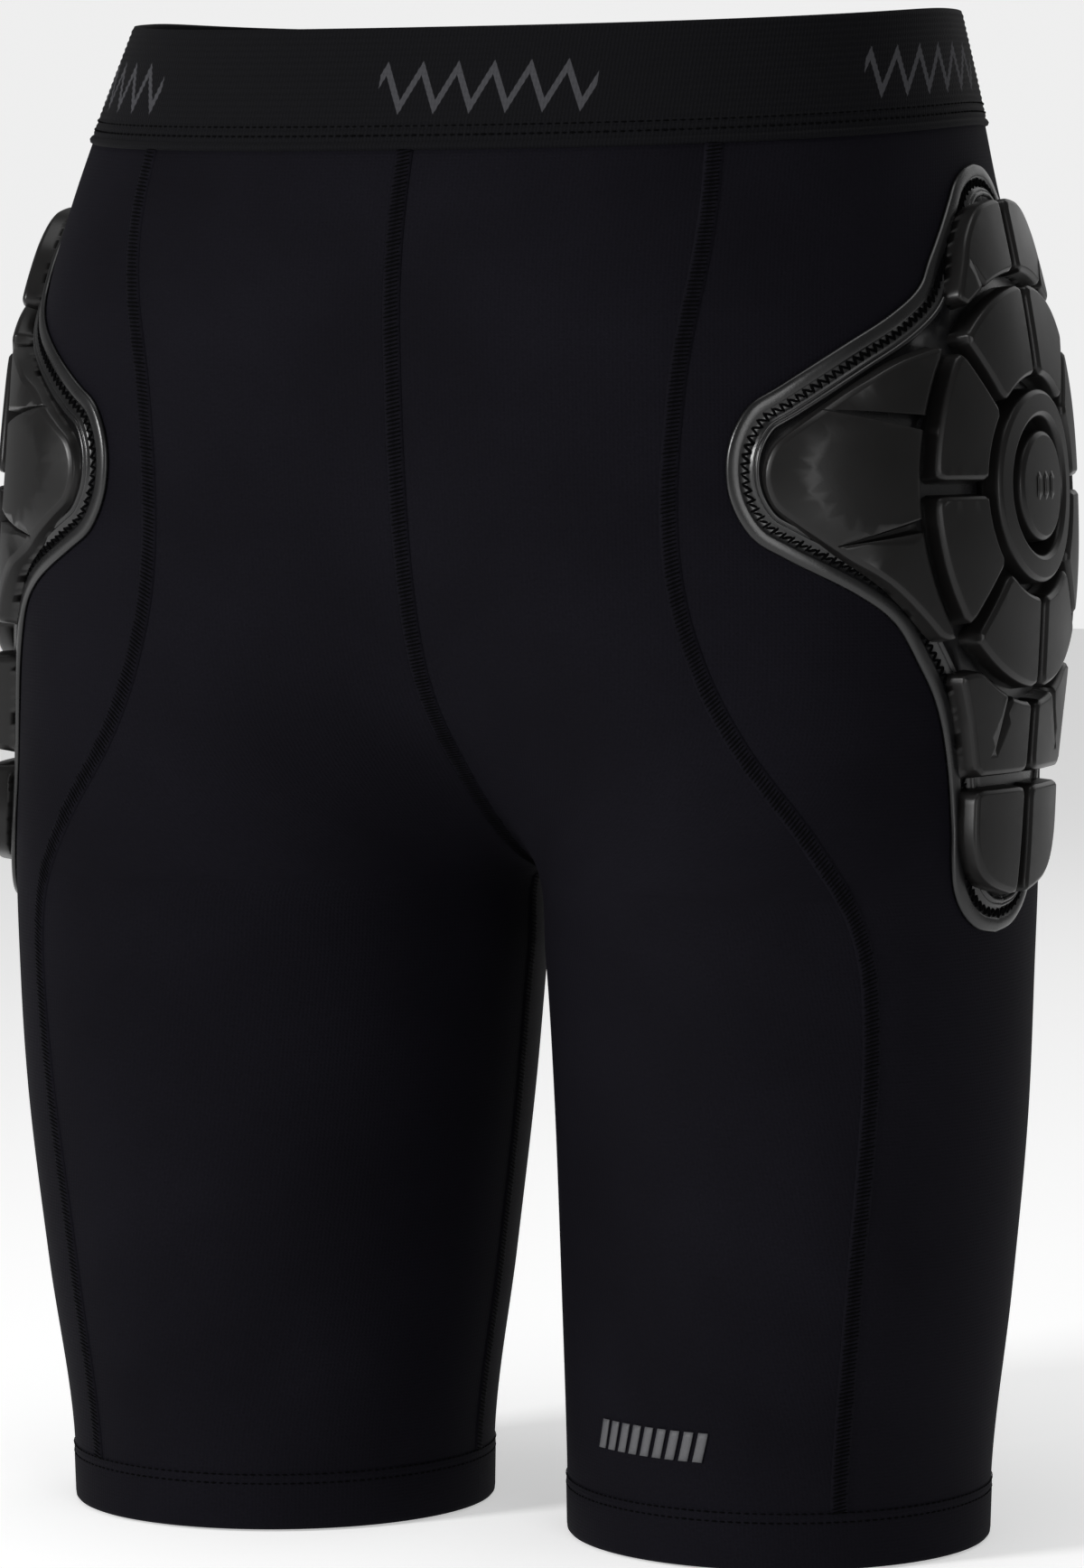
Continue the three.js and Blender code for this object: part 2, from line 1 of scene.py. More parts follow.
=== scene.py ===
"""Padded impact shorts for skiing and snowboarding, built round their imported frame.

Plan sizes are in millimetres and heights are measured up from the hem edge, as a pattern cutter would;
add_piece turns them to metres with the waist edge at zero.
"""

import math

import bmesh
import bpy
import numpy as np
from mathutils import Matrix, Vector
from mathutils.geometry import delaunay_2d_cdt


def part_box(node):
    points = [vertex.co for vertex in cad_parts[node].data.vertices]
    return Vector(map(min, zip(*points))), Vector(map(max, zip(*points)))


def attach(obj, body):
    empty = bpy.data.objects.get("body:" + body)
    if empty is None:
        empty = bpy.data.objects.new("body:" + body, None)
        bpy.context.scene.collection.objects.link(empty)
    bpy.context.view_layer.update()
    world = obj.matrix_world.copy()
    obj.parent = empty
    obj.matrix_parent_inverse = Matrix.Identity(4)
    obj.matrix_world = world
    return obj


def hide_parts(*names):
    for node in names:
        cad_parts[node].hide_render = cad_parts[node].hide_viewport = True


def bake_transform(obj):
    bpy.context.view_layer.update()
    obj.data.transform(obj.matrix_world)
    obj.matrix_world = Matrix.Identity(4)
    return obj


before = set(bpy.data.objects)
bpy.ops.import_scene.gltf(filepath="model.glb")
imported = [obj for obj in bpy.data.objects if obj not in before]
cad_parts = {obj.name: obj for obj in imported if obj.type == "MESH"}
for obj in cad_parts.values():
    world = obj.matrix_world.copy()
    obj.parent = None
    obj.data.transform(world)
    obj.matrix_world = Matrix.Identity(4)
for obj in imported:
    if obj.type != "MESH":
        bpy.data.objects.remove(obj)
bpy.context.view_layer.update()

# ---- Camera ----
# A long lens from just left of the wearer's front, a little above the middle of the shorts, so that
# the front and one hip pad both show with little perspective.
CAMERA_AZIMUTH = math.radians(22)
CAMERA_DISTANCE = 2.05
CAMERA_HEIGHT = -0.1055
AIM = Vector((0, 0, -0.2545))
camera = bpy.data.objects.new("camera", bpy.data.cameras.new("camera"))
bpy.context.scene.collection.objects.link(camera)
camera.location = (
    CAMERA_DISTANCE * math.sin(CAMERA_AZIMUTH),
    -CAMERA_DISTANCE * math.cos(CAMERA_AZIMUTH),
    CAMERA_HEIGHT,
)
camera.rotation_euler = (AIM - camera.location).to_track_quat("-Z", "Y").to_euler()
camera.data.sensor_fit = "HORIZONTAL"
camera.data.sensor_width = 36
camera.data.lens = 205.5
bpy.context.scene.camera = camera

# ---- Body of the shorts ----
# Two halves of stretch knit, each one piece from the waistband to the hem, sewn together down the
# middle and through the crotch. Brushed polyester and elastane in charcoal, with a smooth inner face.
MM = 0.001
INSEAM = 215
TOP = -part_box("hem_left")[0].z / MM  # waist edge above the hem edge, at the sides
RISE = TOP - INSEAM
HIP_WIDTH, HIP_DEPTH = 340, 243
WAIST_DIP, DIP_START = 0.09, 20  # the waist edge dips at the front
DIP_FROM, DIP_RUN = 0.56, 0.31  # where up the rise the dip starts and over how much it comes in
FABRIC = 1.8
HEM_HEIGHT = 18
WAISTBAND_HEIGHT = 38
PANEL_TOP = TOP - WAISTBAND_HEIGHT
SEAM_GAP = 0.3
KNIT_STEP = 4  # the mesh follows the body at this spacing

# Each leg is an oval about its own axis, and the ovals melt into one section above the crotch.
# Level 0 is the hem, 1 the top of the inseam and 2 the waist edge. side and axis are shares of half
# the hip's width, and front, back, shift and join of half its depth; lean and square are ratios.
FORM = np.array(
    [
        # level, side, front, back, axis, shift, lean, join, square
        [0.0, 0.929, 0.58, 0.58, 0.521, -0.1, 0.03, 0.025, 0],
        [0.09, 0.932, 0.59, 0.59, 0.522, -0.1, 0.03, 0.025, 0],
        [0.38, 0.976, 0.64, 0.64, 0.531, -0.08, 0.1, 0.033, 0],
        [0.66, 1.009, 0.69, 0.7, 0.536, -0.066, 0.15, 0.041, 0],
        [0.87, 1.015, 0.73, 0.765, 0.534, -0.066, 0.16, 0.057, 0.01],
        [1.01, 1.012, 0.765, 0.83, 0.53, -0.066, 0.15, 0.074, 0.03],
        [1.12, 1.003, 0.8, 0.915, 0.485, -0.066, 0.12, 0.125, 0.05],
        [1.26, 1.0, 0.87, 1.01, 0.37, -0.066, 0.06, 0.2, 0.08],
        [1.4, 0.997, 0.92, 1.08, 0.265, -0.066, 0.03, 0.24, 0.09],
        [1.54, 0.982, 0.94, 1.085, 0.21, -0.08, 0, 0.25, 0.085],
        [1.69, 0.947, 0.93, 1.045, 0.176, -0.1, 0, 0.247, 0.07],
        [1.81, 0.9, 0.905, 0.97, 0.153, -0.08, 0, 0.24, 0.06],
        [1.87, 0.876, 0.89, 0.93, 0.141, -0.05, 0, 0.23, 0.05],
        [2.0, 0.812, 0.825, 0.865, 0.129, 0.016, 0, 0.205, 0.05],
    ]
)
HALF_WIDTH, HALF_DEPTH = HIP_WIDTH / 2, HIP_DEPTH / 2
STATION_SCALE = [HALF_WIDTH, HALF_DEPTH, HALF_DEPTH, HALF_WIDTH, HALF_DEPTH, 1, HALF_DEPTH, 1]


def height_of(level):
    return np.where(level < 1, level * INSEAM, INSEAM + (level - 1) * RISE)


STATION_HEIGHTS = height_of(FORM[:, 0])
STATIONS = FORM[:, 1:] * STATION_SCALE
RISES = np.diff(STATION_HEIGHTS)
CHORDS = np.diff(STATIONS, axis=0) / RISES[:, None]
INNER_SLOPES = (CHORDS[:-1] * RISES[1:, None] + CHORDS[1:] * RISES[:-1, None]) / (
    RISES[:-1] + RISES[1:]
)[:, None]
SLOPES = np.vstack([CHORDS[:1], INNER_SLOPES, CHORDS[-1:]])


def smooth(t):
    s = np.clip(t, 0, 1)
    return s * s * (3 - 2 * s)


def section_at(height):
    """The section's eight values at each height."""
    height = np.asarray(height, float)
    i = np.clip(np.searchsorted(STATION_HEIGHTS, height, side="right") - 1, 0, len(RISES) - 1)
    rise = RISES[i][..., None]
    t = (height[..., None] - STATION_HEIGHTS[i][..., None]) / rise
    h01 = t * t * (3 - 2 * t)
    slopes = t * (1 - t) ** 2 * SLOPES[i] + t * t * (t - 1) * SLOPES[i + 1]
    return np.moveaxis((1 - h01) * STATIONS[i] + h01 * STATIONS[i + 1] + rise * slopes, -1, 0)


SQUARING_STEPS = 6


def innermost_angle(height):
    """Angle, from straight sideways, where the left half meets the middle or its own inseam."""
    side, _, _, axis, _, _, join, square = section_at(height)
    across = (join - axis) / (np.hypot(side, join) - axis)
    c = across
    for _ in range(SQUARING_STEPS):  # ahead of its own axis the section is squared off, as in field
        c = np.where(c > 0, across / (1 + square * (1 - c * c)), across)
    return np.arccos(np.maximum(c, -1))


def field(height, angle):
    """rho, y, z and join on the left half; x is the root of rho^2 - join^2."""
    side, front, back, axis, shift, lean, join, square = section_at(height)
    reach = np.hypot(side, join) - axis
    c, s = np.cos(angle), np.sin(angle)
    across = np.where(c > 0, c * (1 + square * s * s), c)
    y = shift - lean * reach * c + np.where(s > 0, back, front) * s * (1 + square * c * c)
    dip = WAIST_DIP * smooth((height - INSEAM - DIP_FROM * RISE) / (DIP_RUN * RISE))
    z = height - dip * (np.hypot(y, DIP_START) - y) / 2
    return np.stack([axis + reach * across, y, z, join + 0 * y])


def skin(height, angle, out=0.0):
    """Points on the left half, moved out along the surface's normal."""
    height, angle = np.broadcast_arrays(np.asarray(height, float), np.asarray(angle, float))
    step = 0.01
    rho, y, z, join = field(height, angle)
    x = np.sqrt(np.maximum(rho * rho - join * join, 0))
    up = (field(height + step, angle) - field(height - step, angle)) / (2 * step)
    turn = step / 100
    round_ = (field(height, angle + turn) - field(height, angle - turn)) / (2 * turn)
    spin_x = rho * round_[0]
    rise_x = rho * up[0] - join * up[3]
    normal = np.stack(
        [
            x * (round_[1] * up[2] - round_[2] * up[1]),
            round_[2] * rise_x - spin_x * up[2],
            spin_x * up[1] - round_[1] * rise_x,
        ],
        -1,
    )
    normal /= np.linalg.norm(normal, axis=-1, keepdims=True)
    return np.stack([x, y, z], -1) + normal * np.asarray(out, float)[..., None]


ARC_SAMPLES = 72
SHARES = np.linspace(0, 1, ARC_SAMPLES + 1)


def arc_tables(heights):
    """Arc lengths from the front middle to the back middle, one row for each height."""
    angles = -innermost_angle(heights)[:, None] * np.cos(np.pi * SHARES)
    rho, y, z, join = field(heights[:, None], angles)
    points = np.stack([np.sqrt(np.maximum(rho * rho - join * join, 0)), y, z], -1)
    lengths = np.linalg.norm(np.diff(points, axis=1), axis=-1)
    return np.hstack([np.zeros((len(heights), 1)), np.cumsum(lengths, axis=1)])


def half_round(height):
    return arc_tables(np.atleast_1d(np.asarray(height, float)).ravel())[:, -1]


def arc_at(height, angle):
    height, angle = np.broadcast_arrays(np.asarray(height, float), np.asarray(angle, float))
    tables = arc_tables(height.ravel())
    ratio = np.clip(-angle.ravel() / innermost_angle(height.ravel()), -1, 1)
    share = np.arccos(ratio) / np.pi
    return np.array([np.interp(s, SHARES, row) for s, row in zip(share, tables)])


def angle_at(height, arc):
    heights, which = np.unique(np.round(height, 3), return_inverse=True)
    tables = arc_tables(heights)
    share = np.empty(len(arc))
    for k in range(len(heights)):
        mine = which == k
        share[mine] = np.interp(arc[mine], tables[k], SHARES)
    return -innermost_angle(np.asarray(height, float)) * np.cos(np.pi * share)


def on_body(plan, out=0.0):
    """Points for plan positions (arc from the front middle, height); a right half's arc is below 0."""
    arc, height = plan[:, 0], plan[:, 1]
    whole = half_round(height)
    past_back = arc > whole
    folded = np.where(past_back, 2 * whole - arc, np.abs(arc))
    points = skin(height, angle_at(height, folded), np.broadcast_to(out, arc.shape))
    points[:, 0] *= np.where(past_back | (arc < 0), -1, 1)
    return points


def crotch_height():
    """Where the two legs' sections first reach the middle, found by halving."""
    low, high = 0.8 * INSEAM, INSEAM + 0.2 * RISE
    for _ in range(40):
        middle = (low + high) / 2
        if innermost_angle(middle) < np.pi - 1e-9:
            high = middle
        else:
            low = middle
    return high


CROTCH = crotch_height()


def add_piece(name, points, faces, material, side=1, uv=None, closed=True):
    """A finished object from points in millimetres; side -1 mirrors it to the wearer's right."""
    points = np.array(points, float)
    points[:, 0] *= side
    points[:, 2] -= TOP
    mesh = bpy.data.meshes.new(name)
    order = 1 if side > 0 else -1
    mesh.from_pydata((points * MM).tolist(), [], [list(face)[::order] for face in faces])
    if uv is not None:
        layer = mesh.uv_layers.new(name="cut")
        corners = np.zeros(len(mesh.loops), int)
        mesh.loops.foreach_get("vertex_index", corners)
        layer.data.foreach_set("uv", (np.asarray(uv, float)[corners] * MM).ravel())
    shape = bmesh.new()
    shape.from_mesh(mesh)
    bmesh.ops.remove_doubles(shape, verts=shape.verts, dist=0.00001)
    bmesh.ops.dissolve_degenerate(shape, edges=shape.edges, dist=0.00001)
    if closed:
        bmesh.ops.recalc_face_normals(shape, faces=shape.faces)
    shape.to_mesh(mesh)
    shape.free()
    mesh.shade_smooth()
    mesh.materials.append(material)
    piece = bpy.data.objects.new(name, mesh)
    bpy.context.scene.collection.objects.link(piece)
    return piece


def apply_modifiers(piece):
    """The piece becomes the plain mesh that its modifiers make."""
    seen = piece.evaluated_get(bpy.context.evaluated_depsgraph_get())
    mesh = bpy.data.meshes.new_from_object(seen)
    piece.modifiers.clear()
    piece.data = mesh
    return piece


def grid_faces(rows, columns, offset=0, rows_close=False, columns_close=False):
    """Quads of a grid of points, row by row; either way round the grid can close on itself."""
    faces = []
    for j in range(rows if rows_close else rows - 1):
        a, b = offset + j * columns, offset + (j + 1) % rows * columns
        for i in range(columns if columns_close else columns - 1):
            k = (i + 1) % columns
            faces.append((a + i, a + k, b + k, b + i))
    return faces


def linear(code):
    """A colour written as sRGB hex, turned to linear."""
    channels = [int(code[i : i + 2], 16) / 255 for i in (1, 3, 5)]
    return [c / 12.92 if c < 0.04045 else ((c + 0.055) / 1.055) ** 2.4 for c in channels] + [1]


def add_node(tree, kind, inputs=None, **settings):
    """A node with its settings; inputs are values, or output sockets to link from."""
    node = tree.nodes.new(kind)
    for name, value in settings.items():
        setattr(node, name, value)
    for key, value in (inputs or {}).items():
        if isinstance(value, bpy.types.NodeSocket):
            tree.links.new(value, node.inputs[key])
        else:
            node.inputs[key].default_value = value
    return node


def new_surface(name):
    """A new material, its tree and its one shader."""
    material = bpy.data.materials.new(name)
    material.use_nodes = True
    return material, material.node_tree, material.node_tree.nodes["Principled BSDF"]


def bands(pitch):
    """Wave Texture scale for bands this many millimetres apart on a map in metres."""
    return 2 * math.pi / 20 / (pitch * MM)


# Warp-knit polyester with elastane, dyed charcoal and brushed: it swallows light, with a faint bloom
# at grazing angles. Real wales are 0.5 mm apart; they are drawn at 1.3 mm so that they show.
WALE, COURSE = 1.3, 1.1
knit, tree, shader = new_surface("charcoal_warp_knit_brushed")
place = add_node(tree, "ShaderNodeUVMap", uv_map="cut").outputs["UV"]
wales = add_node(
    tree,
    "ShaderNodeTexWave",
    {"Vector": place, "Scale": bands(WALE), "Distortion": 0.6, "Detail": 1, "Detail Scale": 2},
)
courses = add_node(
    tree,
    "ShaderNodeTexWave",
    {"Vector": place, "Scale": bands(COURSE), "Distortion": 1.5, "Detail": 1, "Detail Scale": 1.5},
    bands_direction="Y",
)
loops = add_node(
    tree, "ShaderNodeMath", {0: wales.outputs["Fac"], 1: courses.outputs["Fac"]}, operation="MULTIPLY"
)
nap = add_node(
    tree,
    "ShaderNodeTexNoise",
    {"Vector": place, "Scale": 1 / (0.9 * MM), "Detail": 3, "Roughness": 0.6},
)
cloud = add_node(tree, "ShaderNodeTexNoise", {"Vector": place, "Scale": 1 / (70 * MM), "Detail": 3})
shade = add_node(
    tree, "ShaderNodeMath", {0: nap.outputs["Fac"], 1: cloud.outputs["Fac"]}, operation="MULTIPLY"
)
shade = add_node(
    tree, "ShaderNodeMapRange", {"Value": shade.outputs[0], "From Min": 0.12, "From Max": 0.42}
)
colour = add_node(
    tree,
    "ShaderNodeMix",
    {0: shade.outputs[0], 6: linear("#07060b"), 7: linear("#0e0d13")},
    data_type="RGBA",
)
relief = add_node(
    tree, "ShaderNodeMath", {0: loops.outputs[0], 1: nap.outputs["Fac"]}, operation="ADD"
)
bump = add_node(
    tree, "ShaderNodeBump", {"Height": relief.outputs[0], "Strength": 0.35, "Distance": 0.25 * MM}
)
tree.links.new(colour.outputs[2], shader.inputs["Base Color"])
tree.links.new(bump.outputs["Normal"], shader.inputs["Normal"])
shader.inputs["Roughness"].default_value = 0.82
shader.inputs["Specular IOR Level"].default_value = 0.06
shader.inputs["Sheen Weight"].default_value = 0.015
shader.inputs["Sheen Roughness"].default_value = 0.5
shader.inputs["Sheen Tint"].default_value = linear("#7c7b8c")

SIDES = {"left": 1, "right": -1}
KNIT_BOTTOM = HEM_HEIGHT - 2
KNIT_TOP = PANEL_TOP + 3  # tucked under the waistband


def even_heights(bottom, top, step):
    return np.linspace(bottom, top, max(2, int(round((top - bottom) / step)) + 1))


knit_heights = np.unique(
    np.concatenate(
        [
            even_heights(KNIT_BOTTOM, CROTCH, KNIT_STEP),
            CROTCH + np.array([0.4, 1.2, 2.5]),
            even_heights(CROTCH + 4, KNIT_TOP, KNIT_STEP),
        ]
    )
)
KNIT_COLUMNS = 121
knit_plan = []
for h in knit_heights:
    gap = SEAM_GAP / 2 if h > CROTCH else 0
    arcs = np.linspace(gap, half_round(h)[0] - gap, KNIT_COLUMNS)
    knit_plan.append(np.column_stack([arcs, np.full(KNIT_COLUMNS, h)]))
knit_plan = np.vstack(knit_plan)
knit_points = on_body(knit_plan)
for name, side in SIDES.items():
    half = add_piece(
        f"{name}_knit_half",
        knit_points,
        grid_faces(len(knit_heights), KNIT_COLUMNS),
        knit,
        side,
        uv=knit_plan,
        closed=False,
    )
    wall = half.modifiers.new("thickness", "SOLIDIFY")
    wall.thickness = FABRIC * MM
    wall.offset = -1
    apply_modifiers(half)
    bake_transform(half)
    nodes = ["front_panel", "side_panel", "back_panel", "flex_band"]
    nodes += ["front_leg", "side_leg", "back_leg"]
    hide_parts(*[f"{node}_{name}" for node in nodes])

# ---- Hems ----
# The knit is turned up inside and held by a coverstitch, so the edge is two layers thick, round at
# the fold and a hair proud of the leg.
HEM_PROFILE = [
    (0.0, -1.2),
    (0.2, -0.3),
    (0.9, 0.25),
    (2.2, 0.38),
    (HEM_HEIGHT - 3.6, 0.42),
    (HEM_HEIGHT - 2.4, 0.2),  # pulled down by the coverstitch
    (HEM_HEIGHT - 1.2, 0.36),
    (HEM_HEIGHT + 0.3, 0.2),
    (HEM_HEIGHT + 1.2, 0.02),
    (HEM_HEIGHT + 1.4, -0.6),
    (HEM_HEIGHT, -2.6),
    (2, -3.0),
    (0.4, -2.2),
]
HEM_COLUMNS = 160


def sweep(profile, shares):
    """A profile of (height, out) set at each of these shares of the half's arc: plan and outs."""
    columns = len(shares)
    plan = [np.column_stack([half_round(h)[0] * shares, np.full(columns, h)]) for h, _ in profile]
    return np.vstack(plan), np.repeat([out for _, out in profile], columns)


hem_plan, hem_outs = sweep(HEM_PROFILE, np.arange(HEM_COLUMNS) / HEM_COLUMNS)
hem_faces = grid_faces(len(HEM_PROFILE), HEM_COLUMNS, rows_close=True, columns_close=True)
hem_points = on_body(hem_plan, hem_outs)
hem_points[:, 2] = np.maximum(hem_points[:, 2], 0)
for name, side in SIDES.items():
    hem = add_piece(f"{name}_folded_hem", hem_points, hem_faces, knit, side, uv=hem_plan)
    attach(hem, f"leg_{name}")
    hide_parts(f"hem_{name}")

# ---- Waistband ----
# A wide jacquard elastic woven with fine lengthwise ribs, joined to a ring and sewn on proud of the
# knit with its lower edge bound by a narrow corded roll.
BAND_PROUD, BAND_THICK = 0.8, 2.6
RIB = 1.9  # rib spacing
RIB_DEPTH = 0.28
BAND_COLUMNS = 300
band_rows = even_heights(PANEL_TOP + 3.2, TOP - 0.9, RIB / 4)
band_profile = [(PANEL_TOP + 0.2, -0.4), (PANEL_TOP + 0.5, 0.9), (PANEL_TOP + 1.3, 1.35)]
band_profile += [(PANEL_TOP + 2.2, 1.0), (PANEL_TOP + 2.8, 0.45)]
band_profile += [
    (h, BAND_PROUD - RIB_DEPTH * (0.5 - 0.5 * math.cos(2 * math.pi * (h - TOP) / RIB)))
    for h in band_rows
]
band_profile += [(TOP - 0.3, 0.5), (TOP, -0.3), (TOP, -1.2), (TOP - 0.4, -1.7)]
band_profile += [(h, BAND_PROUD - BAND_THICK) for h in even_heights(TOP - 2, PANEL_TOP + 1, 9)]

# Covered rubber in black polyester yarn: matt, and a shade darker than the knit.
elastic, tree, shader = new_surface("black_jacquard_elastic_woven")
place = add_node(tree, "ShaderNodeUVMap", uv_map="cut").outputs["UV"]
picks = add_node(
    tree,
    "ShaderNodeTexWave",
    {"Vector": place, "Scale": bands(1.2), "Distortion": 1.2, "Detail": 2, "Detail Scale": 3},
)
yarn = add_node(
    tree,
    "ShaderNodeTexNoise",
    {"Vector": place, "Scale": 1 / (1.1 * MM), "Detail": 4, "Roughness": 0.65},
)
mixed = add_node(
    tree, "ShaderNodeMath", {0: picks.outputs["Fac"], 1: yarn.outputs["Fac"]}, operation="MULTIPLY"
)
colour = add_node(
    tree,
    "ShaderNodeMix",
    {0: mixed.outputs[0], 6: linear("#050507"), 7: linear("#0c0c10")},
    data_type="RGBA",
)
bump = add_node(
    tree, "ShaderNodeBump", {"Height": mixed.outputs[0], "Strength": 0.5, "Distance": 0.3 * MM}
)

# Grey yarn floats over the black in a row of peaks, woven in again every MARK_PITCH round the band.
MARK_PITCH, MARK_START, MARK_LENGTH, MARK_HEIGHT = 160, 24, 72, 12
PEAK, STROKE = 12, 2.2
spot = add_node(tree, "ShaderNodeSeparateXYZ", {"Vector": place}).outputs
shifted = add_node(
    tree, "ShaderNodeMath", {0: spot["X"], 1: MARK_START * MM}, operation="SUBTRACT"
)
along = add_node(
    tree,
    "ShaderNodeMath",
    {0: shifted.outputs[0], 1: MARK_PITCH / 2 * MM, 2: -MARK_PITCH / 2 * MM},
    operation="WRAP",
)
mark_foot = (TOP - WAISTBAND_HEIGHT / 2 - MARK_HEIGHT / 2) * MM
rise_in_mark = add_node(
    tree, "ShaderNodeMath", {0: spot["Y"], 1: mark_foot}, operation="SUBTRACT"
)
positive = add_node(
    tree, "ShaderNodeMath", {0: along.outputs[0], 1: MARK_PITCH * MM}, operation="ADD"
)
folded = add_node(
    tree, "ShaderNodeMath", {0: positive.outputs[0], 1: PEAK / 2 * MM}, operation="PINGPONG"
)
peaks = add_node(
    tree, "ShaderNodeMath", {0: folded.outputs[0], 1: 2 * MARK_HEIGHT / PEAK}, operation="MULTIPLY"
)
off_line = add_node(
    tree,
    "ShaderNodeMath",
    {0: peaks.outputs[0], 1: rise_in_mark.outputs[0]},
    operation="SUBTRACT",
)
within = []
for distance, reach in ((off_line, STROKE), (along, MARK_LENGTH / 2)):
    size = add_node(tree, "ShaderNodeMath", {0: distance.outputs[0]}, operation="ABSOLUTE")
    within.append(
        add_node(tree, "ShaderNodeMath", {0: size.outputs[0], 1: reach * MM}, operation="LESS_THAN")
    )
marked = add_node(
    tree,
    "ShaderNodeMath",
    {0: within[0].outputs[0], 1: within[1].outputs[0]},
    operation="MULTIPLY",
)
woven = add_node(
    tree,
    "ShaderNodeMix",
    {0: marked.outputs[0], 6: colour.outputs[2], 7: linear("#3a3a3d")},
    data_type="RGBA",
)
tree.links.new(woven.outputs[2], shader.inputs["Base Color"])
tree.links.new(bump.outputs["Normal"], shader.inputs["Normal"])
shader.inputs["Roughness"].default_value = 0.78
shader.inputs["Specular IOR Level"].default_value = 0.08
shader.inputs["Sheen Weight"].default_value = 0.015
shader.inputs["Sheen Roughness"].default_value = 0.45

# It runs from the middle of the back to the middle of the back, where its two ends are joined.
band_plan, band_outs = sweep(band_profile, np.linspace(-1, 1, BAND_COLUMNS))
band_faces = grid_faces(len(band_profile), BAND_COLUMNS, rows_close=True)
band_points = on_body(band_plan, band_outs)
waistband = add_piece("waistband_elastic_ring", band_points, band_faces, elastic, uv=band_plan)
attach(waistband, "hips")
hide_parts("waistband")

# ---- Flatlock seams ----
# Butted edges joined by a flat seam: a low padded ridge 6 mm wide, covered by a close ladder of
# thread. Two long seams and an inseam on each leg, and one down the middle, through the crotch and
# up the back.
SEAM_WIDTH = 6.0
RIDGE = [(-3.0, -0.5), (-3.0, 0.05), (-2.3, 0.42), (-1.1, 0.5), (0, 0.4), (1.1, 0.5)]
RIDGE += [(2.3, 0.42), (3.0, 0.05), (3.0, -0.5)]
RIDGE_TOP, MIDDLE_LIFT = 0.5, 0.05  # the middle seam stands a hair proud, where the halves meet
RUNG_PITCH, RUNG_INSET, RUNG_LEAN = 1.3, 0.4, 0.5
SEAM_THREAD = (0.7, 0.4)  # a strand's width and height, here and below
FRONT_SEAM = [(0, -0.94), (0.4, -0.92), (0.8, -0.86), (0.95, -0.9), (1.06, -1.06), (1.16, -1.22)]
FRONT_SEAM += [(1.28, -1.25), (1.42, -1.2), (1.58, -1.12), (1.8, -0.98), (2, -0.92)]
REAR_SEAM = [(0, 1.05), (0.8, 1.0), (1.05, 1.02), (1.25, 1.08), (1.5, 1.06), (1.8, 0.98), (2, 0.95)]


def curve_through(points, count):
    """count + 1 evenly spaced points on a smooth curve through the given ones."""
    p = np.asarray(points, float)
    padded = np.vstack([p[:1], p, p[-1:]])
    t = np.linspace(0, 1, 24, endpoint=False)[:, None]
    runs = []
    for i in range(len(p) - 1):
        a, b, c, d = padded[i : i + 4]
        start, end = (c - a) / 2, (d - b) / 2
        cubic, square = 2 * b - 2 * c + start + end, 3 * c - 3 * b - 2 * start - end
        runs.append(cubic * t**3 + square * t**2 + start * t + b)
    dense = np.vstack([*runs, p[-1:]])
    return spaced(dense, count)


def spaced(line, count):
    lengths = np.concatenate([[0], np.cumsum(np.linalg.norm(np.diff(line, axis=0), axis=1))])
    wanted = np.linspace(0, lengths[-1], count + 1)
    return np.column_stack([np.interp(wanted, lengths, column) for column in line.T])


# Bonded polyester thread, spun and matt, black beside the charcoal knit.
thread, tree, shader = new_surface("black_polyester_thread_spun")
place = add_node(tree, "ShaderNodeTexCoord").outputs["Object"]
fibre = add_node(tree, "ShaderNodeTexNoise", {"Vector": place, "Scale": 1 / (0.5 * MM), "Detail": 2})
colour = add_node(
    tree,
    "ShaderNodeMix",
    {0: fibre.outputs["Fac"], 6: linear("#020202"), 7: linear("#050506")},
    data_type="RGBA",
)
bump = add_node(
    tree, "ShaderNodeBump", {"Height": fibre.outputs["Fac"], "Strength": 0.4, "Distance": 0.1 * MM}
)
tree.links.new(colour.outputs[2], shader.inputs["Base Color"])
tree.links.new(bump.outputs["Normal"], shader.inputs["Normal"])
shader.inputs["Roughness"].default_value = 0.9
shader.inputs["Specular IOR Level"].default_value = 0.03

# One tree lays a strand of thread at every guide point, along the guide's own direction.
stitches = bpy.data.node_groups.new("thread_strands", "GeometryNodeTree")
stitches.interface.new_socket("Guides", in_out="INPUT", socket_type="NodeSocketGeometry")
STRAND_INPUTS = {
    label: stitches.interface.new_socket(label, in_out="INPUT", socket_type=kind).identifier
    for label, kind in [
        ("Strand length", "NodeSocketFloat"),
        ("Strand width", "NodeSocketFloat"),
        ("Strand height", "NodeSocketFloat"),
        ("Thread", "NodeSocketMaterial"),
    ]
}
stitches.interface.new_socket("Stitches", in_out="OUTPUT", socket_type="NodeSocketGeometry")
given = add_node(stitches, "NodeGroupInput").outputs
strand = add_node(stitches, "GeometryNodeMeshUVSphere", {"Segments": 8, "Rings": 5, "Radius": 0.5})
size = add_node(
    stitches,
    "ShaderNodeCombineXYZ",
    {"X": given["Strand length"], "Y": given["Strand width"], "Z": given["Strand height"]},
)
uneven = add_node(
    stitches, "FunctionNodeRandomValue", {2: 0.88, 3: 1.12, "Seed": 7}, data_type="FLOAT"
)
scale = add_node(
    stitches,
    "ShaderNodeVectorMath",
    {0: size.outputs[0], "Scale": uneven.outputs[1]},
    operation="SCALE",
)
along = add_node(
    stitches, "GeometryNodeInputNamedAttribute", {"Name": "along"}, data_type="FLOAT_VECTOR"
)
outward = add_node(
    stitches, "GeometryNodeInputNamedAttribute", {"Name": "outward"}, data_type="FLOAT_VECTOR"
)
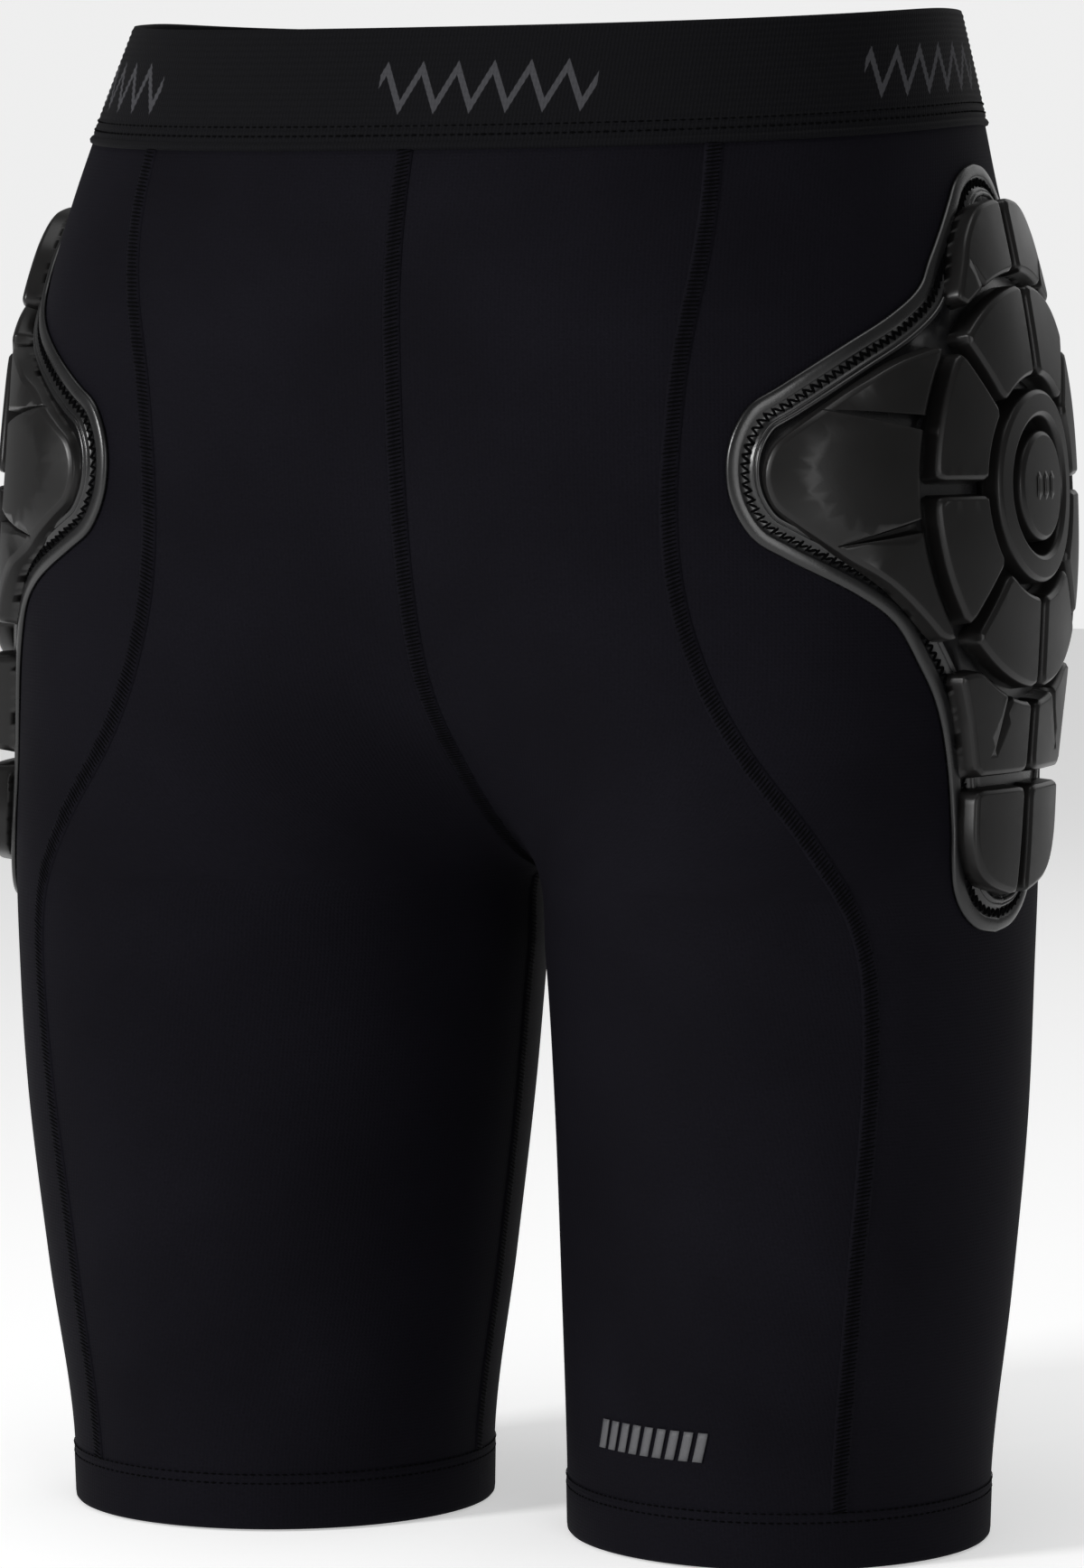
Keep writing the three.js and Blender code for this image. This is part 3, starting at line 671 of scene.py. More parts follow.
turned = add_node(
    stitches, "FunctionNodeAlignRotationToVector", {"Vector": along.outputs[0]}, axis="X"
)
rolled = add_node(
    stitches,
    "FunctionNodeAlignRotationToVector",
    {"Rotation": turned.outputs[0], "Vector": outward.outputs[0]},
    axis="Z",
    pivot_axis="X",
)
laid = add_node(
    stitches,
    "GeometryNodeInstanceOnPoints",
    {
        "Points": given["Guides"],
        "Instance": strand.outputs["Mesh"],
        "Rotation": rolled.outputs[0],
        "Scale": scale.outputs[0],
    },
)
real = add_node(stitches, "GeometryNodeRealizeInstances", {"Geometry": laid.outputs[0]})
round_ = add_node(stitches, "GeometryNodeSetShadeSmooth", {"Geometry": real.outputs[0]})
coated = add_node(
    stitches, "GeometryNodeSetMaterial", {"Geometry": round_.outputs[0], "Material": given["Thread"]}
)
add_node(stitches, "NodeGroupOutput", {"Stitches": coated.outputs[0]})


def sew(name, starts, ends, outward, width, height, side=1):
    """Strands of thread from each start to each end, points in millimetres on the body."""
    starts, ends, outward = (np.array(a, float) for a in (starts, ends, outward))
    for a in (starts, ends, outward):
        a[:, 0] *= side
    middle = (starts + ends) / 2
    middle[:, 2] -= TOP
    mesh = bpy.data.meshes.new(name)
    mesh.from_pydata((middle * MM).tolist(), [], [])
    for label, values in (("along", ends - starts), ("outward", outward)):
        layer = mesh.attributes.new(label, "FLOAT_VECTOR", "POINT")
        layer.data.foreach_set("vector", values.astype(np.float32).ravel())
    piece = bpy.data.objects.new(name, mesh)
    bpy.context.scene.collection.objects.link(piece)
    strands = piece.modifiers.new("strands", "NODES")
    strands.node_group = stitches
    length = float(np.linalg.norm(ends - starts, axis=1).mean())
    strands[STRAND_INPUTS["Strand length"]] = length * MM
    strands[STRAND_INPUTS["Strand width"]] = width * MM
    strands[STRAND_INPUTS["Strand height"]] = height * MM
    strands[STRAND_INPUTS["Thread"]] = thread
    piece = apply_modifiers(piece)
    for label in ("along", "outward"):
        if label in piece.data.attributes:
            piece.data.attributes.remove(piece.data.attributes[label])
    return piece


def seam_line(knots, bottom, top, step=3):
    """Heights and angles of a seam given as (level, angle) knots."""
    curve = curve_through([(height_of(np.array(level)), angle) for level, angle in knots], 120)
    heights = even_heights(bottom, top, step)
    return heights, np.interp(heights, curve[:, 0], curve[:, 1])


def lay_line(heights, angles, step):
    """Evenly spaced points along a line on the body, with the directions out of it there."""
    centres = skin(heights, angles)
    outward = skin(heights, angles, 1.0) - centres
    count = int(np.linalg.norm(np.diff(centres, axis=0), axis=1).sum() / step)
    both = np.hstack([centres, outward])
    lengths = np.concatenate([[0], np.cumsum(np.linalg.norm(np.diff(centres, axis=0), axis=1))])
    wanted = np.linspace(0, lengths[-1], count + 1)
    both = np.column_stack([np.interp(wanted, lengths, column) for column in both.T])
    return both[:, :3], both[:, 3:] / np.linalg.norm(both[:, 3:], axis=1, keepdims=True)


def side_steps(centres, outward):
    """Unit directions along the body, square to a line on it."""
    steps = np.cross(np.gradient(centres, axis=0), outward)
    return steps / np.linalg.norm(steps, axis=1, keepdims=True)


def ridge_mesh(centres, outward, lift=0.0):
    """A seam's low ridge along a line: points, map and faces, closed at both ends."""
    square = side_steps(centres, outward)
    n = len(centres)
    points = np.vstack([centres + square * s + outward * (out + lift) for s, out in RIDGE])
    run = np.arange(n) * np.linalg.norm(centres[1] - centres[0])
    plan = np.vstack([np.column_stack([np.full(n, s), run]) for s, _ in RIDGE])
    faces = grid_faces(len(RIDGE), n, rows_close=True)
    faces.append(tuple(j * n for j in range(len(RIDGE))))
    faces.append(tuple(j * n + n - 1 for j in reversed(range(len(RIDGE)))))
    return points, plan, faces


def ladder(centres, outward, lift):
    """Strand ends and outward directions for a slanting ladder of thread along a line."""
    reach = side_steps(centres, outward) * (SEAM_WIDTH / 2 - RUNG_INSET)
    lean = np.gradient(centres, axis=0) * RUNG_LEAN
    raised = centres + outward * lift
    return raised - reach - lean, raised + reach + lean, outward


RIDGE_STEP = 3
inseam_heights = even_heights(HEM_HEIGHT + 1, CROTCH - 1, RIDGE_STEP)
LONG_SEAMS = {
    "front": seam_line(FRONT_SEAM, HEM_HEIGHT + 1, PANEL_TOP + 0.5),
    "rear": seam_line(REAR_SEAM, HEM_HEIGHT + 1, PANEL_TOP + 0.5),
    "inside": (inseam_heights, np.full(len(inseam_heights), np.pi)),
}
seam_pieces = {"left": [], "right": []}
for label, line in LONG_SEAMS.items():
    points, plan, faces = ridge_mesh(*lay_line(*line, RIDGE_STEP))
    rungs = ladder(*lay_line(*line, RUNG_PITCH), RIDGE_TOP)
    for name, side in SIDES.items():
        ridge = add_piece(f"{name}_{label}_seam", points, faces, knit, side, uv=plan)
        laid_thread = sew(f"{name}_{label}_seam_thread", *rungs, *SEAM_THREAD, side)
        for piece in (ridge, laid_thread):
            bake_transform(piece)
            seam_pieces[name].append(piece)

# The middle seam lies between the halves: down the front, through the crotch and up the back.
climb = np.linspace(0, 1, 160) ** 2
rise_heights = CROTCH + 0.01 + (PANEL_TOP + 0.5 - CROTCH) * climb
rise_angles = innermost_angle(rise_heights) * 0.99999
rise = (
    np.concatenate([rise_heights[::-1], rise_heights]),
    np.concatenate([-rise_angles[::-1], rise_angles]),
)


def on_middle(line):
    """A line's points and directions brought exactly into the middle plane."""
    centres, outward = (part * [0, 1, 1] for part in line)
    return centres, outward / np.linalg.norm(outward, axis=1, keepdims=True)


points, plan, faces = ridge_mesh(*on_middle(lay_line(*rise, RIDGE_STEP)), MIDDLE_LIFT)
middle_ridge = add_piece("middle_seam", points, faces, knit, uv=plan)
rungs = ladder(*on_middle(lay_line(*rise, RUNG_PITCH)), RIDGE_TOP + MIDDLE_LIFT)
middle_thread = sew("middle_seam_thread", *rungs, *SEAM_THREAD)
for piece in (middle_ridge, middle_thread):
    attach(piece, "hips")


def on_leg(plan, out=0.0):
    """Points for plan positions on a leg, where the arc runs on past the inseam round the leg."""
    arc, height = plan[:, 0], plan[:, 1]
    arc = np.mod(arc, half_round(height))
    return skin(height, angle_at(height, arc), np.broadcast_to(out, arc.shape))


# Coverstitch: two rows of short stitches round each hem.
HEM_ROWS = (HEM_HEIGHT - 2.4, HEM_HEIGHT + 0.6)
HEM_STITCH = 2.6
STITCH_SPAN = (0.12, 0.86)  # where a strand starts and ends, as shares of the stitch
HEM_THREAD, BAND_THREAD = (0.55, 0.4), (0.6, 0.45)
for name, side in SIDES.items():
    starts, ends, outs = [], [], []
    for row in HEM_ROWS:
        whole = half_round(row)[0]
        count = int(whole / HEM_STITCH)
        arcs = whole * np.arange(count) / count
        for points, share in zip((starts, ends), STITCH_SPAN):
            plan = np.column_stack([arcs + share * HEM_STITCH, np.full(count, row)])
            points.append(on_leg(plan, 0.34))
        flat = np.column_stack([arcs, np.full(count, row)])
        outs.append(on_leg(flat, 1.3) - on_leg(flat, 0.3))
    laid = [np.vstack(rows) for rows in (starts, ends, outs)]
    hem_thread = sew(f"{name}_hem_coverstitch", *laid, *HEM_THREAD, side)
    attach(hem_thread, f"leg_{name}")
    seam_pieces[name].append(hem_thread)

# And two rows hold the waistband to the knit, just above its corded roll.
BAND_ROWS = (PANEL_TOP + 4.6, PANEL_TOP + 7.4)
band_whole = half_round(PANEL_TOP + 6)[0]
band_arcs = np.arange(-band_whole, band_whole, HEM_STITCH)
starts, ends, outs = [], [], []
for row in BAND_ROWS:
    flat = np.column_stack([band_arcs, np.full(len(band_arcs), row)])
    for points, share in zip((starts, ends), STITCH_SPAN):
        points.append(on_body(flat + [share * HEM_STITCH, 0], BAND_PROUD))
    outs.append(on_body(flat, 2) - on_body(flat, 1))
laid = [np.vstack(rows) for rows in (starts, ends, outs)]
band_thread = sew("waistband_coverstitch", *laid, *BAND_THREAD)
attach(band_thread, "hips")

# ---- Leg print ----
# A row of slanted bars of heat-transfer film, pressed on low on the front of the left leg.
BARS, BAR_WIDTH, BAR_PITCH, BAR_HEIGHT, BAR_SLANT = 9, 3.2, 5.0, 9.5, 4
PRINT_ARC, PRINT_HEIGHT, FILM = 93, 39, 0.25

# Polyurethane transfer film: grey, flat and slightly rubbery.
transfer_film, tree, shader = new_surface("grey_polyurethane_transfer_film_pressed")
place = add_node(tree, "ShaderNodeTexCoord").outputs["Object"]
grain = add_node(tree, "ShaderNodeTexNoise", {"Vector": place, "Scale": 1 / (0.6 * MM), "Detail": 3})
tone = add_node(
    tree,
    "ShaderNodeMix",
    {0: grain.outputs["Fac"], 6: linear("#434346"), 7: linear("#525255")},
    data_type="RGBA",
)
tree.links.new(tone.outputs[2], shader.inputs["Base Color"])
shader.inputs["Roughness"].default_value = 0.6

bar_grid = np.array([(u, v) for v in np.linspace(0, 1, 6) for u in np.linspace(0, 1, 4)])
bar_points, bar_faces = [], []
for bar in range(BARS):
    plan = np.column_stack(
        [
            PRINT_ARC + (bar - (BARS - 1) / 2) * BAR_PITCH + bar_grid[:, 0] * BAR_WIDTH
            + (bar_grid[:, 1] - 0.5) * BAR_SLANT,
            PRINT_HEIGHT + (bar_grid[:, 1] - 0.5) * BAR_HEIGHT,
        ]
    )
    top_at = len(bar_points) * 2 * len(plan)
    under_at = top_at + len(plan)
    bar_points.append(np.vstack([on_leg(plan, 0.35 + FILM), on_leg(plan, 0.2)]))
    bar_faces += grid_faces(6, 4, top_at)
    bar_faces += [face[::-1] for face in grid_faces(6, 4, under_at)]
    rim = [*range(4), *range(7, 24, 4), *range(22, 19, -1), *range(16, 0, -4)]
    for a, b in zip(rim, rim[1:] + rim[:1]):
        bar_faces.append((top_at + b, top_at + a, under_at + a, under_at + b))
print_bars = add_piece("left_leg_print", np.vstack(bar_points), bar_faces, transfer_film)
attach(print_bars, "leg_left")

# ---- Hip pads ----
# Each is a base sheet of film over foam, sewn all round to the knit by a zigzag, that carries
# separate moulded foam pods: a button, a ring, a wreath of eight sectors, and lobes in front, behind,
# above and below. The grooves between the pods let the pad bend round the hip.
PAD_DROP, PAD_BACK, PAD_LINE, THIGH_LEAN = 12, 13.5, -0.15, 21
GROOVE = 3
BUTTON_RADIUS, RING_WIDTH, SECTORS = 18, 10, 8
SECTOR_REACH_U, SECTOR_REACH_V = 58, 64
WREATH_U, WREATH_V = SECTOR_REACH_U + GROOVE, SECTOR_REACH_V + GROOVE
UPPER_REACH, LOWER_REACH = WREATH_V + 37, WREATH_V + 73  # button centre to the sheet's ends
LOWER_SPLIT = -(WREATH_V + 25)  # groove between the lower pods and the end pods
PAD_HEIGHT = PANEL_TOP - PAD_DROP - UPPER_REACH
LOBE_AXIS, LOBE_RADIUS = 4.5, 17
POD_TOP, LOBE_TOP = 10.5, 9.0
FLOOR = 2.1  # top of the base sheet between the pods
OUTLINE_STEP = 1.5
CAP_STEP = 4.0


def onto_hip(plan, out):
    """Pad positions (forward, up from the button's centre) laid on the left hip."""
    u, v = plan[:, 0], plan[:, 1]
    height = PAD_HEIGHT + v
    lean = np.where(v < 0, THIGH_LEAN * (v / LOWER_REACH) ** 2, 0)
    line = arc_at(height, PAD_LINE)
    return skin(
        height, angle_at(height, line - (u - PAD_BACK + lean)), np.broadcast_to(out, u.shape)
    )


def oval(centre, reach, start, end, count):
    angles = np.radians(np.linspace(start, end, count + 1))
    return np.column_stack(
        [centre[0] + reach[0] * np.cos(angles), centre[1] + reach[1] * np.sin(angles)]
    )


def closed_even(outline, step=OUTLINE_STEP):
    """The same closed outline, with its points a step apart and its corners kept."""
    points = np.asarray(outline, float)
    result = []
    for a, b in zip(points, np.roll(points, -1, axis=0)):
        count = max(1, int(round(np.linalg.norm(b - a) / step)))
        result.append(a + (b - a) * (np.arange(count) / count)[:, None])
    points = np.vstack(result)
    ahead = np.roll(points, -1, axis=0)
    turning = (points[:, 0] * ahead[:, 1] - points[:, 1] * ahead[:, 0]).sum()
    return points if turning > 0 else points[::-1]


def distance_to(points, outline):
    """Distance from each point to a closed outline."""
    a, b = outline, np.roll(outline, -1, axis=0)
    run = b - a
    square = np.maximum((run**2).sum(1), 1e-12)
    away = points[:, None] - a[None]
    t = np.clip((away * run[None]).sum(-1) / square, 0, 1)
    return np.linalg.norm(away - t[..., None] * run[None], axis=-1).min(1)


def inset(outline, distance):
    """A closed outline drawn in by a distance, point for point; points that would cross gather."""
    run = np.roll(outline, -1, axis=0) - np.roll(outline, 1, axis=0)
    run /= np.linalg.norm(run, axis=1, keepdims=True) + 1e-12
    moved = outline + distance * np.column_stack([-run[:, 1], run[:, 0]])
    kept = distance_to(moved, outline) > abs(distance) * 0.985
    if kept.all() or not kept.any():
        return moved
    index = np.arange(len(outline))
    return np.column_stack(
        [np.interp(index, index[kept], column[kept], period=len(outline)) for column in moved.T]
    )


def rounded(outline, radius):
    core = inset(outline, radius)
    away = outline - core
    return core + radius * away / np.linalg.norm(away, axis=1, keepdims=True)


def is_inside(points, outline):
    a, b = outline, np.roll(outline, -1, axis=0)
    y = points[:, 1:2]
    spans = (a[None, :, 1] > y) != (b[None, :, 1] > y)
    slope = (b[:, 0] - a[:, 0]) / np.where(b[:, 1] == a[:, 1], 1e-12, b[:, 1] - a[:, 1])
    cross = a[None, :, 0] + (y - a[None, :, 1]) * slope[None]
    return (spans & (points[:, 0:1] < cross)).sum(1) % 2 == 1


def cap(outline, creases=(), step=CAP_STEP):
    """Triangles that fill an outline: its points first, then points inside it."""
    low, high = outline.min(0), outline.max(0)
    rows = np.arange(low[1], high[1], step * 0.866)
    lattice = np.vstack(
        [
            np.column_stack([np.arange(low[0] + (j % 2) * step / 2, high[0], step)] * 2)
            * [1, 0]
            + [0, row]
            for j, row in enumerate(rows)
        ]
    )
    extra = [c[is_inside(c, outline)] for c in creases]
    extra = [c[distance_to(c, outline) > 0.8] for c in extra if len(c)]
    lattice = lattice[is_inside(lattice, outline)]
    lattice = lattice[distance_to(lattice, outline) > 0.55 * step] if len(lattice) else lattice
    for crease in extra:
        if len(lattice) and len(crease):
            gaps = np.linalg.norm(lattice[:, None] - crease[None], axis=-1).min(1)
            lattice = lattice[gaps > 0.5 * step]
    points = np.vstack([outline, *extra, lattice])
    n = len(outline)
    edges = [(i, (i + 1) % n) for i in range(n)]
    made = delaunay_2d_cdt([Vector(p) for p in points], edges, [], 0, 1e-7)
    if len(made[0]) != len(points):
        return cap_again(points, made, n)
    middles = np.array([points[list(face)].mean(0) for face in made[2]])
    faces = [tuple(f) for f, keep in zip(made[2], is_inside(middles, outline)) if keep]
    return points, faces


def cap_again(points, made, n):
    """Points that fell together keep the first one's place; a crossing takes the nearest point's."""
    coords = np.array([list(p) for p in made[0]])
    owner = {
        new: old[0] if old else int(np.argmin(((points - coords[new]) ** 2).sum(1)))
        for new, old in enumerate(made[3])
    }
    outline = points[:n]
    middles = np.array([coords[list(face)].mean(0) for face in made[2]])
    faces = [
        tuple(owner[k] for k in f) for f, keep in zip(made[2], is_inside(middles, outline)) if keep
    ]
    return points, faces


def moulding(outline, profile, onto, creases=(), drop=None):
    """A closed moulded form: the outline rises through a profile of (inset, height) to a filled top.

    With its points and faces comes each point's distance in from the outline.
    """
    loops = [inset(outline, d) if d > 0 else outline for d, _ in profile]
    heights = [h for _, h in profile]
    n = len(outline)
    top, cap_faces = cap(loops[-1], creases)
    inner = top[n:]
    plan = np.vstack([*loops, inner, inner])
    outs = np.concatenate(
        [np.full(n, h) for h in heights]
        + [np.full(len(inner), heights[-1]), np.full(len(inner), heights[0])]
    )
    if drop is not None:
        outs = heights[0] + (outs - heights[0]) * (1 - drop(plan))
    faces = grid_faces(len(loops), n, columns_close=True)
    last = (len(loops) - 1) * n
    up = {k: last + k if k < n else len(loops) * n + k - n for k in range(len(top))}
    down = {k: k if k < n else len(loops) * n + len(inner) + k - n for k in range(len(top))}
    faces += [tuple(up[k] for k in f) for f in cap_faces]
    faces += [tuple(down[k] for k in reversed(f)) for f in cap_faces]
    edge = np.concatenate(
        [np.full(n, d) for d, _ in profile] + [np.full(2 * len(inner), profile[-1][0] + 3)]
    )
    return onto(plan, outs), faces, edge


def past_wreath(points, side=1):
    """Points given as offsets past the wreath's reach, up or, for side -1, down."""
    return [(WREATH_U + u, side * (WREATH_V + v)) for u, v in points]


half_front = curve_through(
    np.vstack(
        [
            oval((0, UPPER_REACH - 25), (26, 25), 90, 35, 3),
            past_wreath([(-23, 8), (-15, -2), (-1, -11), (18, -21)]),
            oval(
                (WREATH_U + 34, LOBE_AXIS + 1.5), (LOBE_RADIUS + 9, LOBE_RADIUS + 11), 75, -75, 5
            ),
            past_wreath([(18, -35), (4, -26), (-6, -14), (-17, 1), (-25, 19), (-30, 37)], -1),
            oval((0, 29 - LOWER_REACH), (WREATH_U - 32, 29), -10, -90, 4),
        ]
    ),
    240,
)
flip = np.array([-1, 1])
base_outline = closed_even(np.vstack([half_front, half_front[1:-1][::-1] * flip]), 2.0)

# The sheet's border: a smooth rim, a sunk track for the zigzag, a step up, and a moulded bead.
TRACK = (4.7, 7.2)  # the zigzag's two sides, in from the edge
BORDER = [
    (0, 0.12), (0, 0.9), (0.3, 1.5), (0.9, 1.85), (2.0, 1.95), (3.7, 1.95), (4.2, 1.75), (4.6, 1.4),
    (7.1, 1.4), (7.5, 1.65), (8.0, 2.2), (8.4, 2.45), (8.75, 2.3), (8.85, 1.9), (9.0, 2.45),
    (9.4, 2.8), (9.8, 2.9), (10.2, 2.75), (10.55, 2.3), (10.7, FLOOR),
]

# Thermoformed polyurethane film over foam: smoked, satin, with the stitching's fine crease lines.
film, tree, shader = new_surface("smoked_polyurethane_film_moulded")
place = add_node(tree, "ShaderNodeTexCoord").outputs["Object"]
haze = add_node(tree, "ShaderNodeTexNoise", {"Vector": place, "Scale": 1 / (14 * MM), "Detail": 4})
grain = add_node(tree, "ShaderNodeTexNoise", {"Vector": place, "Scale": 1 / (0.8 * MM), "Detail": 3})
colour = add_node(
    tree,
    "ShaderNodeMix",
    {0: haze.outputs["Fac"], 6: linear("#09090a"), 7: linear("#101011")},
    data_type="RGBA",
)
polish = add_node(
    tree,
    "ShaderNodeMapRange",
    {"Value": haze.outputs["Fac"], "From Min": 0.3, "From Max": 0.7, "To Min": 0.24, "To Max": 0.34},
)
bump = add_node(
    tree, "ShaderNodeBump", {"Height": grain.outputs["Fac"], "Strength": 0.25, "Distance": 0.12 * MM}
)
tree.links.new(colour.outputs[2], shader.inputs["Base Color"])
tree.links.new(polish.outputs[0], shader.inputs["Roughness"])
tree.links.new(bump.outputs["Normal"], shader.inputs["Normal"])
shader.inputs["Specular IOR Level"].default_value = 0.5

# Compression-moulded foam with a polyurethane skin: charcoal, satin, a little paler where edges rub.
pod_skin, tree, shader = new_surface("charcoal_foam_skin_moulded")
place = add_node(tree, "ShaderNodeTexCoord").outputs["Object"]
blotch = add_node(tree, "ShaderNodeTexNoise", {"Vector": place, "Scale": 1 / (30 * MM), "Detail": 3})
grain = add_node(tree, "ShaderNodeTexNoise", {"Vector": place, "Scale": 1 / (0.7 * MM), "Detail": 4})
edge = add_node(tree, "ShaderNodeAttribute", attribute_name="from_edge")
worn = add_node(
    tree,
    "ShaderNodeMapRange",
    {"Value": edge.outputs["Fac"], "From Min": 1.2, "From Max": 3.2, "To Min": 0.35, "To Max": 0},
)
body = add_node(
    tree,
    "ShaderNodeMix",
    {0: blotch.outputs["Fac"], 6: linear("#090908"), 7: linear("#0f0e0e")},
    data_type="RGBA",
)
colour = add_node(
    tree,
    "ShaderNodeMix",
    {0: worn.outputs[0], 6: body.outputs[2], 7: linear("#1c1b1b")},
    data_type="RGBA",
)
polish = add_node(
    tree,
    "ShaderNodeMapRange",
    {"Value": blotch.outputs["Fac"], "From Min": 0.3, "From Max": 0.7, "To Min": 0.3, "To Max": 0.38},
)
bump = add_node(
    tree, "ShaderNodeBump", {"Height": grain.outputs["Fac"], "Strength": 0.15, "Distance": 0.1 * MM}
)
tree.links.new(colour.outputs[2], shader.inputs["Base Color"])
tree.links.new(polish.outputs[0], shader.inputs["Roughness"])
tree.links.new(bump.outputs["Normal"], shader.inputs["Normal"])
shader.inputs["Specular IOR Level"].default_value = 0.27


def crisp(piece):
    """Flat facets shade flat, and the narrow strips between them carry the turn."""
    weighted = piece.modifiers.new("facets", "WEIGHTED_NORMAL")
    weighted.mode = "FACE_AREA"
    weighted.weight = 80
    return apply_modifiers(piece)


def mark_edges(piece, points, edge, side):
    """Distance from each pod's foot, kept on the mesh for the wear along its edges."""
    layer = piece.data.attributes.new("from_edge", "FLOAT", "POINT")
    world = np.array(points, float)
    world[:, 0] *= side
    world[:, 2] -= TOP
    co = np.zeros(len(piece.data.vertices) * 3)
    piece.data.vertices.foreach_get("co", co)
    co = co.reshape(-1, 3) / MM
    values = np.empty(len(co))
    for i, c in enumerate(co):
        values[i] = edge[np.argmin(((world - c) ** 2).sum(1))]
    layer.data.foreach_set("value", values.astype(np.float32))


def pod_profile(top):
    """A pod's wall leans in, turns over a tight shoulder and a narrow facet to its flat top."""
    rise = top - FLOOR
    return [
        (0, FLOOR - 0.4), (0.3, FLOOR + 0.35 * rise), (0.65, FLOOR + 0.76 * rise),
        (0.85, FLOOR + 0.86 * rise), (1.15, FLOOR + 0.915 * rise), (1.9, FLOOR + 0.975 * rise),
        (2.15, FLOOR + 0.993 * rise), (2.5, top),
    ]


SLIT_TIP, SLIT_RUN_OUT = 0.15, 2.5  # half of its width, and its rise, at the closed end
CLEAR_ABOVE = 14  # higher than every pod


def slit_cutter(start, end, mouth, floor, onto):
    """A long wedge that narrows from its mouth to its end, for cutting a slit."""
    start, end = np.array(start, float), np.array(end, float)
    run = (end - start) / np.linalg.norm(end - start)
    side_step = np.array([-run[1], run[0]])
    rings = []
    for t in np.linspace(-0.1, 1, 12):  # from just outside the pod's wall
        centre = start + (end - start) * t
        half = max(mouth / 2 * (1 - t) ** 0.8, SLIT_TIP)
        depth = floor + SLIT_RUN_OUT * max(t, 0)
        ring = [(-half, CLEAR_ABOVE), (half, CLEAR_ABOVE), (half * 0.7, depth + 1)]
        ring += [(half * 0.3, depth), (-half * 0.3, depth), (-half * 0.7, depth + 1)]
        plan = np.array([centre + side_step * s for s, _ in ring])
        rings.append(onto(plan, np.array([h for _, h in ring], float)))
    count = len(rings[0])
    points = np.vstack(rings)
    faces = grid_faces(len(rings), count, columns_close=True)
    faces.append(tuple(range(count)))
    faces.append(tuple(len(points) - count + i for i in reversed(range(count))))
    return points, faces


def cut_slits(piece, slits, onto, side):
    for number, (start, end, mouth) in enumerate(slits):
        points, faces = slit_cutter(start, end, mouth, FLOOR + 1.2, onto)
        cutter = add_piece(f"{piece.name}_cutter_{number}", points, faces, pod_skin, side)
        cut = piece.modifiers.new("slit", "BOOLEAN")
        cut.operation = "DIFFERENCE"
        cut.solver = "EXACT"
        cut.object = cutter
        apply_modifiers(piece)
        bpy.data.objects.remove(cutter)
    if slits:
        piece.data.shade_smooth()
        piece.data.set_sharp_from_angle(angle=math.radians(40))


RING_INNER = BUTTON_RADIUS + GROOVE
RING_OUTER = RING_INNER + RING_WIDTH
SECTOR_INNER = RING_OUTER + GROOVE
WREATH = (WREATH_U, WREATH_V)
HALF_GROOVE = GROOVE / 2


def groove_angle(radius):
    return math.degrees(HALF_GROOVE / radius)


def circle(radius):
    count = int(2 * math.pi * radius / OUTLINE_STEP)
    return oval((0, 0), (radius, radius), 0, 360 - 360 / count, count - 1)


front_lobe = np.vstack(
    [
        curve_through(
            np.vstack(
                [
                    past_wreath([(-12, -22), (5, -27), (22, -36)]),
                    oval((WREATH_U + 32, LOBE_AXIS), (LOBE_RADIUS, LOBE_RADIUS), 65, -65, 4),
                    past_wreath([(26, -47), (9, -36), (-9, -20)], -1),
                ]
            ),
            90,
        ),
        oval((0, 0), WREATH, -46, 42, 50),
    ]
)
upper_pod = np.vstack(
    [
        oval((0, 0), WREATH, 57, 90 - groove_angle(WREATH_U), 20),
        curve_through(
            [
                (HALF_GROOVE, WREATH_V + 25),
                *past_wreath([(-44, 22.5), (-34, 14), (-28, 3), (-22.5, -8)]),
            ],
            40,
        ),
    ]
)
lower_pod = np.vstack(
    [
        oval((0, 0), WREATH, -90 + groove_angle(WREATH_U), -57, 20),
        past_wreath([(-17, -10), (-24, 6)], -1),
        [(WREATH_U - 30, LOWER_SPLIT + HALF_GROOVE), (HALF_GROOVE, LOWER_SPLIT + HALF_GROOVE)],
    ]
)
end_pod = np.vstack(
    [
        [(HALF_GROOVE, LOWER_SPLIT - HALF_GROOVE)],
        curve_through(
            [
                (WREATH_U - 30.5, LOWER_SPLIT - HALF_GROOVE),
                *past_wreath([(-33.5, 45), (-42, 56.5)], -1),
                (HALF_GROOVE, -(WREATH_V + 62)),
            ],
            40,
        ),
    ]
)

FACET_REACH = 17  # the lobe is flat this far round a point near its middle, then slopes to its tip
facet_centre = np.array([80.0, LOBE_AXIS])


def tip_drop(plan):
    """Share of a front lobe's height lost towards its tip."""
    away = plan - facet_centre
    past = np.linalg.norm(away, axis=1) - FACET_REACH
    ahead = smooth((away[:, 0] + 6) / 12)
    return np.clip(past * 0.042, 0, 0.6) * ahead


def mirrored_drop(plan):
    return tip_drop(plan * flip)


facet_edge = facet_centre + FACET_REACH * np.column_stack(
    [np.cos(np.linspace(-1.5, 1.5, 28)), np.sin(np.linspace(-1.5, 1.5, 28))]
)
LOBE_SLITS = [((54, 19.5), (92, 25), 6.4), ((54, -9.6), (88, -17), 6.4)]
UPPER_SLITS = [((21, 58), (28, 71), 5.0)]
LOWER_SLITS = [((13.5, -54), (23.5, -82), 6.5)]


def flipped(slits):
    return [((-a[0], a[1]), (-b[0], b[1]), mouth) for a, b, mouth in slits]


